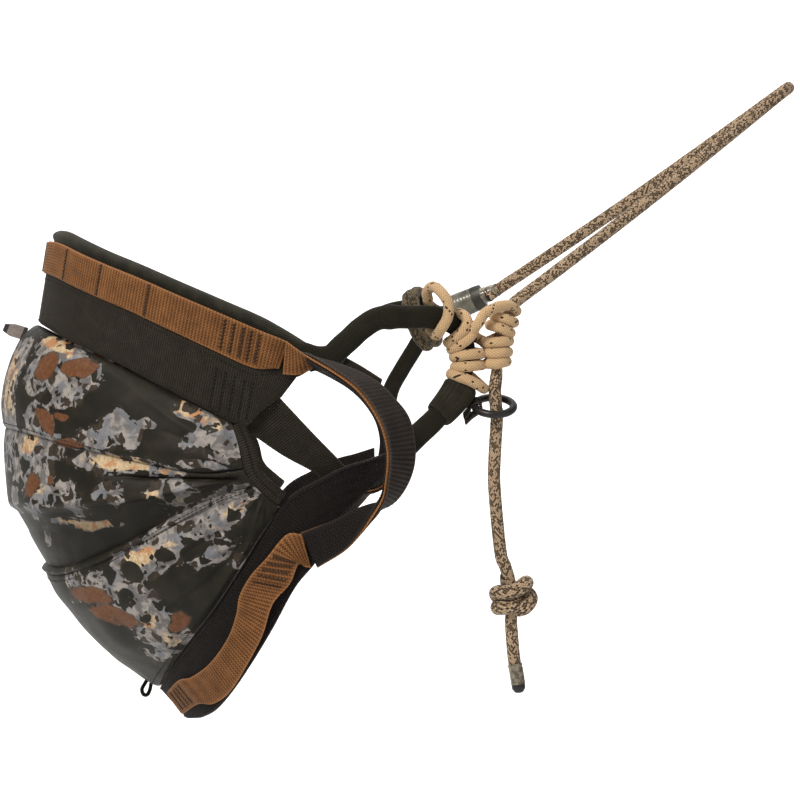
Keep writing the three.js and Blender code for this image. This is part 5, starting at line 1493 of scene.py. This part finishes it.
# ----------------------------------------------------------------------------
# bridge loops of tubular webbing
# ----------------------------------------------------------------------------
def flat_tube(name, row_, steps, w, t, mat, side=(0, 1, 0), t0=0.0, t1=None, power=0.72, sides=36, rib=0.0, pitch=2.2, nodes=(), slot="dark_webbing", flute=0.0):
    n = len(row_) - 1
    t1 = n if t1 is None else t1
    k = np.linspace(t0, t1, 500)
    P0 = cr(row_, k)
    s0 = arc(P0)
    m = max(5, int(round(s0[-1] / steps)) + 1)
    s = np.linspace(0, s0[-1], m)
    kk = np.interp(s, s0, k)
    P = cr(row_, kk)
    tan = unit(np.gradient(P, axis=0))
    u = unit(np.cross(tan, np.asarray(side, float)))
    v = np.cross(u, tan)
    th = 2 * math.pi * (np.arange(sides) + 0.5) / sides
    c, sn = np.cos(th), np.sin(th)
    cx, sx = np.sign(c) * np.abs(c) ** power, np.sign(sn) * np.abs(sn) ** power
    W_ = np.array([w(q) if callable(w) else w for q in s / s[-1]])
    T__ = np.array([t(q) if callable(t) else t for q in s / s[-1]])
    h = rib * (0.5 - 0.5 * np.cos(2 * math.pi * s / pitch))
    fl = flute * (0.5 - 0.5 * np.cos(15 * th * 2))[None]
    R = P[:, None] + u[:, None] * (((W_ / 2 - h)[:, None] - fl) * cx)[..., None] + v[:, None] * (((T__ / 2 - h)[:, None] - fl) * sx)[..., None]
    i, j = np.meshgrid(np.arange(m - 1), np.arange(sides), indexing="ij")
    q0, q1 = (i * sides + j).ravel(), (i * sides + (j + 1) % sides).ravel()
    F = np.stack([q0, q1, q1 + sides, q0 + sides], -1)
    per = (w(0.3) if callable(w) else w) * 2.2
    U0, U1 = s[i.ravel()] * S, s[i.ravel() + 1] * S
    V0, V1 = j.ravel() / sides * per * S, (j.ravel() + 1) / sides * per * S
    C = np.stack([np.stack([U0, V0], -1), np.stack([U0, V1], -1), np.stack([U1, V1], -1), np.stack([U1, V0], -1)], 1)
    V_ = np.concatenate([R.reshape(-1, 3), P[:1], P[-1:]])
    idx = np.arange(0, sides, 2)
    c0 = np.stack([idx, (idx + 1) % sides, (idx + 2) % sides, np.full(len(idx), m * sides)], -1)[:, ::-1]
    b0 = (m - 1) * sides
    c1 = np.stack([b0 + idx, b0 + (idx + 1) % sides, b0 + (idx + 2) % sides, np.full(len(idx), m * sides + 1)], -1)
    F = np.concatenate([F, c0, c1])
    C = np.concatenate([C, np.zeros((len(c0) + len(c1), 4, 2))])
    if not outward(V_, F):
        F, C = F[:, ::-1], C[:, ::-1]
    at = {"wear": np.zeros(len(V_)), "crease_shade": np.zeros(len(V_))}
    ob = build(name, V_, F, corner_uv=C, mat=mat, attrs=at)
    ride(ob, "harness", slot, *nodes)
    return ob


NEAR_START = [[187.0, -131.0, -60.0], [199.0, -131.0, -63.5]]
FAR_START = [[205.5, 133.0, -63.0]]


def near_w(q):
    base = 17.5 - 7.0 * math.exp(-(((q - 0.655) / 0.115) ** 2))
    base += 1.6 * math.exp(-(((q - 0.31) / 0.017) ** 2))
    return base


flat_tube("near_bridge_webbing", NEAR_START + NEAR_LOOP, 1.0, near_w, lambda q: 11.5 + 1.2 * math.exp(-(((q - 0.31) / 0.017) ** 2)), TUBEWEB, nodes=("near_bridge_loop",), rib=0.12, pitch=1.7)
flat_tube("far_bridge_webbing", FAR_LOOP, 1.0, 13.5, 10.5, TUBEWEB, nodes=("far_bridge_loop",), rib=0.12, pitch=1.7)
flat_tube("near_sewn_sleeve", NEAR_LOOP, 0.5, lambda q: 27.0 - 5.0 * q - 7.0 * math.exp(-((q / 0.09) ** 2)) - 1.5 * math.exp(-(((1 - q) / 0.05) ** 2)), lambda q: 18.5 - 4.0 * math.exp(-((q / 0.07) ** 2)), RIBL, t0=9.9, t1=11.75, nodes=("near_loop_sleeve",), power=0.66, flute=0.35, sides=90)

# ----------------------------------------------------------------------------
# keeper ring and its tab
# ----------------------------------------------------------------------------
c0 = np.array(RING_AT)
th = np.linspace(0, 2 * math.pi, 97)[:-1]
tl = math.radians(26)
cp = np.stack([c0[0] + 14.5 * np.cos(th), c0[1] + 14.5 * np.sin(th) * math.cos(tl), c0[2] + 14.5 * np.sin(th) * math.sin(tl)], -1)
nrm = np.array([0, -math.sin(tl), math.cos(tl)])
rd = unit(cp - c0)
ph = 2 * math.pi * np.arange(20) / 20
R = cp[:, None] + rd[:, None] * (3.0 * np.cos(ph))[None, :, None] + nrm[None, None] * (2.9 * np.sin(ph))[None, :, None]
m, sides = len(cp), 20
i, j = np.meshgrid(np.arange(m), np.arange(sides), indexing="ij")
F = np.stack([(i * sides + j), (i * sides + (j + 1) % sides), ((i + 1) % m * sides + (j + 1) % sides), ((i + 1) % m * sides + j)], -1).reshape(-1, 4)
V_ = R.reshape(-1, 3)
if not outward(V_, F):
    F = F[:, ::-1]
ride(build("keeper_ring_metal", V_, F, vert_uv=np.zeros((len(V_), 2)), mat=BLACK, sharp=None), "keeper", "black_plastic", "keeper_ring")
tab_row = [[-8.6, -7.6], [-5, -3.2], [-4.2, 0], [-2.7, 2.8], [0, 4.2], [3.1, 3.1], [4.4, 0], [3.2, -3.2], [0.2, -5], [-3.4, -7.6], [-7.6, -11.6]]
tr = 5 * math.tan(tl)
TA = [[c0[0] - 14 + a_, c0[1] - 5, c0[2] + b_ - tr] for a_, b_ in tab_row]
TB = [[c0[0] - 14 + a_, c0[1] + 5, c0[2] + b_ + tr] for a_, b_ in tab_row]
ob, _ = ribbon("keeper_tab_webbing", TA, TB, DARK, -0.9, 0.9, du=0.4, nv=12, r=0.5, rib=0.15, pitch=1.4)
ride(ob, "harness", "dark_webbing", "keeper_tab")

# ----------------------------------------------------------------------------
# small pieces at the back
# ----------------------------------------------------------------------------
T = Tree("label_cloth", rough=0.8, base=(0.35, 0.25, 0.22), spec=0.25)
o = T.obj()
nz = T.noise(o, 300.0, 3.0)
vec, u, v = T.uv()
weave = T.m("MULTIPLY", T.m("SINE", T.m("MULTIPLY", u, 2 * math.pi / 0.0011)), T.m("SINE", T.m("MULTIPLY", v, 2 * math.pi / 0.0009)))
hem = T.m("ADD", T.m("LESS_THAN", u, 0.0035), T.m("GREATER_THAN", u, 0.0150))
lcol = T.mix(nz, (0.20, 0.17, 0.16), (0.46, 0.40, 0.38))
lcol = T.mix(T.m("MULTIPLY", T.step(weave, -0.4, 0.6), 0.35), lcol, (0.10, 0.08, 0.08))
LABEL = T.out(T.mix(hem, lcol, (0.055, 0.050, 0.052)), None, T.bump(weave, 0.0003, 0.7))
lc = np.array(LABEL_AT)
nx, ny = 30, 20
X, Y = np.meshgrid(np.linspace(-9.0, 9.0, nx), np.linspace(-5.5, 5.5, ny), indexing="ij")
lx = np.array([math.cos(0.35), 0.0, -math.sin(0.35)])
lz = np.array([math.sin(0.35) * math.cos(0.5), math.sin(0.5), math.cos(0.35) * math.cos(0.5)])
ln = np.cross(lx, lz)
bend = 0.7 * np.sin(X / 4.5) + 0.02 * (X + 9) * Y / 6
taper = np.clip(1.0 - 0.45 * np.clip((-X - 2) / 7, 0, 1), 0.3, 1)
base = lc + X[..., None] * lx + (Y * taper)[..., None] * lz
ob = sheet_mesh("side_label_cloth", base + (bend + 0.45)[..., None] * ln, base + (bend - 0.45)[..., None] * ln, (X + 9) * S, (Y + 5.5) * S, LABEL)
ride(ob, "harness", "label_cloth", "side_label")
bc = np.array(BTAB_AT)
pts = [bc + (3.4, 0.4, 12.0), bc + (0.6, -0.2, 6.4), bc + (-2.2, -1, 1.2), bc + (-1.0, -1.6, -2.8), bc + (1.8, -0.6, -3.2), bc + (3.8, 1, 0.4), bc + (4.8, 0.8, 5.6), bc + (6.4, 0.6, 11.0)]
P, s = smooth_path(pts, 0.6)
v, f, c = tube(P, 1.5, 16, "round", None, (0, 1, 0))
at = {"wear": np.zeros(len(v)), "crease_shade": np.zeros(len(v))}
ob = build("hem_pull_cord", v, f, corner_uv=c, mat=DARK, sharp=None, attrs=at)
ride(ob, "harness", "dark_webbing", "hem_pull_tab")

# ----------------------------------------------------------------------------
# floor and backdrop
# ----------------------------------------------------------------------------
prof = [(-4.0, -0.62)] + [(y, -0.62) for y in np.linspace(-3.0, 2.2, 9)]
for k in range(1, 13):
    th = math.pi / 2 * k / 12
    prof.append((2.2 + 1.6 * math.sin(th), -0.62 + 1.6 * (1 - math.cos(th))))
prof += [(3.8, z) for z in (1.6, 2.6, 3.6, 4.6)]
prof = np.array(prof)
xs = np.linspace(-5.5, 6.0, 12)
V_ = np.array([[x_, y_, z_] for x_ in xs for (y_, z_) in prof]) / S
n = len(prof)
i, j = np.meshgrid(np.arange(len(xs) - 1), np.arange(n - 1), indexing="ij")
q = (i * n + j).ravel()
floor = build("floor", V_, np.stack([q, q + n, q + n + 1, q + 1], -1), vert_uv=np.zeros((len(V_), 2)), sharp=None)
T = Tree("pale_floor", rough=0.9, base=(0.86, 0.86, 0.855), spec=0.1)
floor.data.materials.append(T.mat)
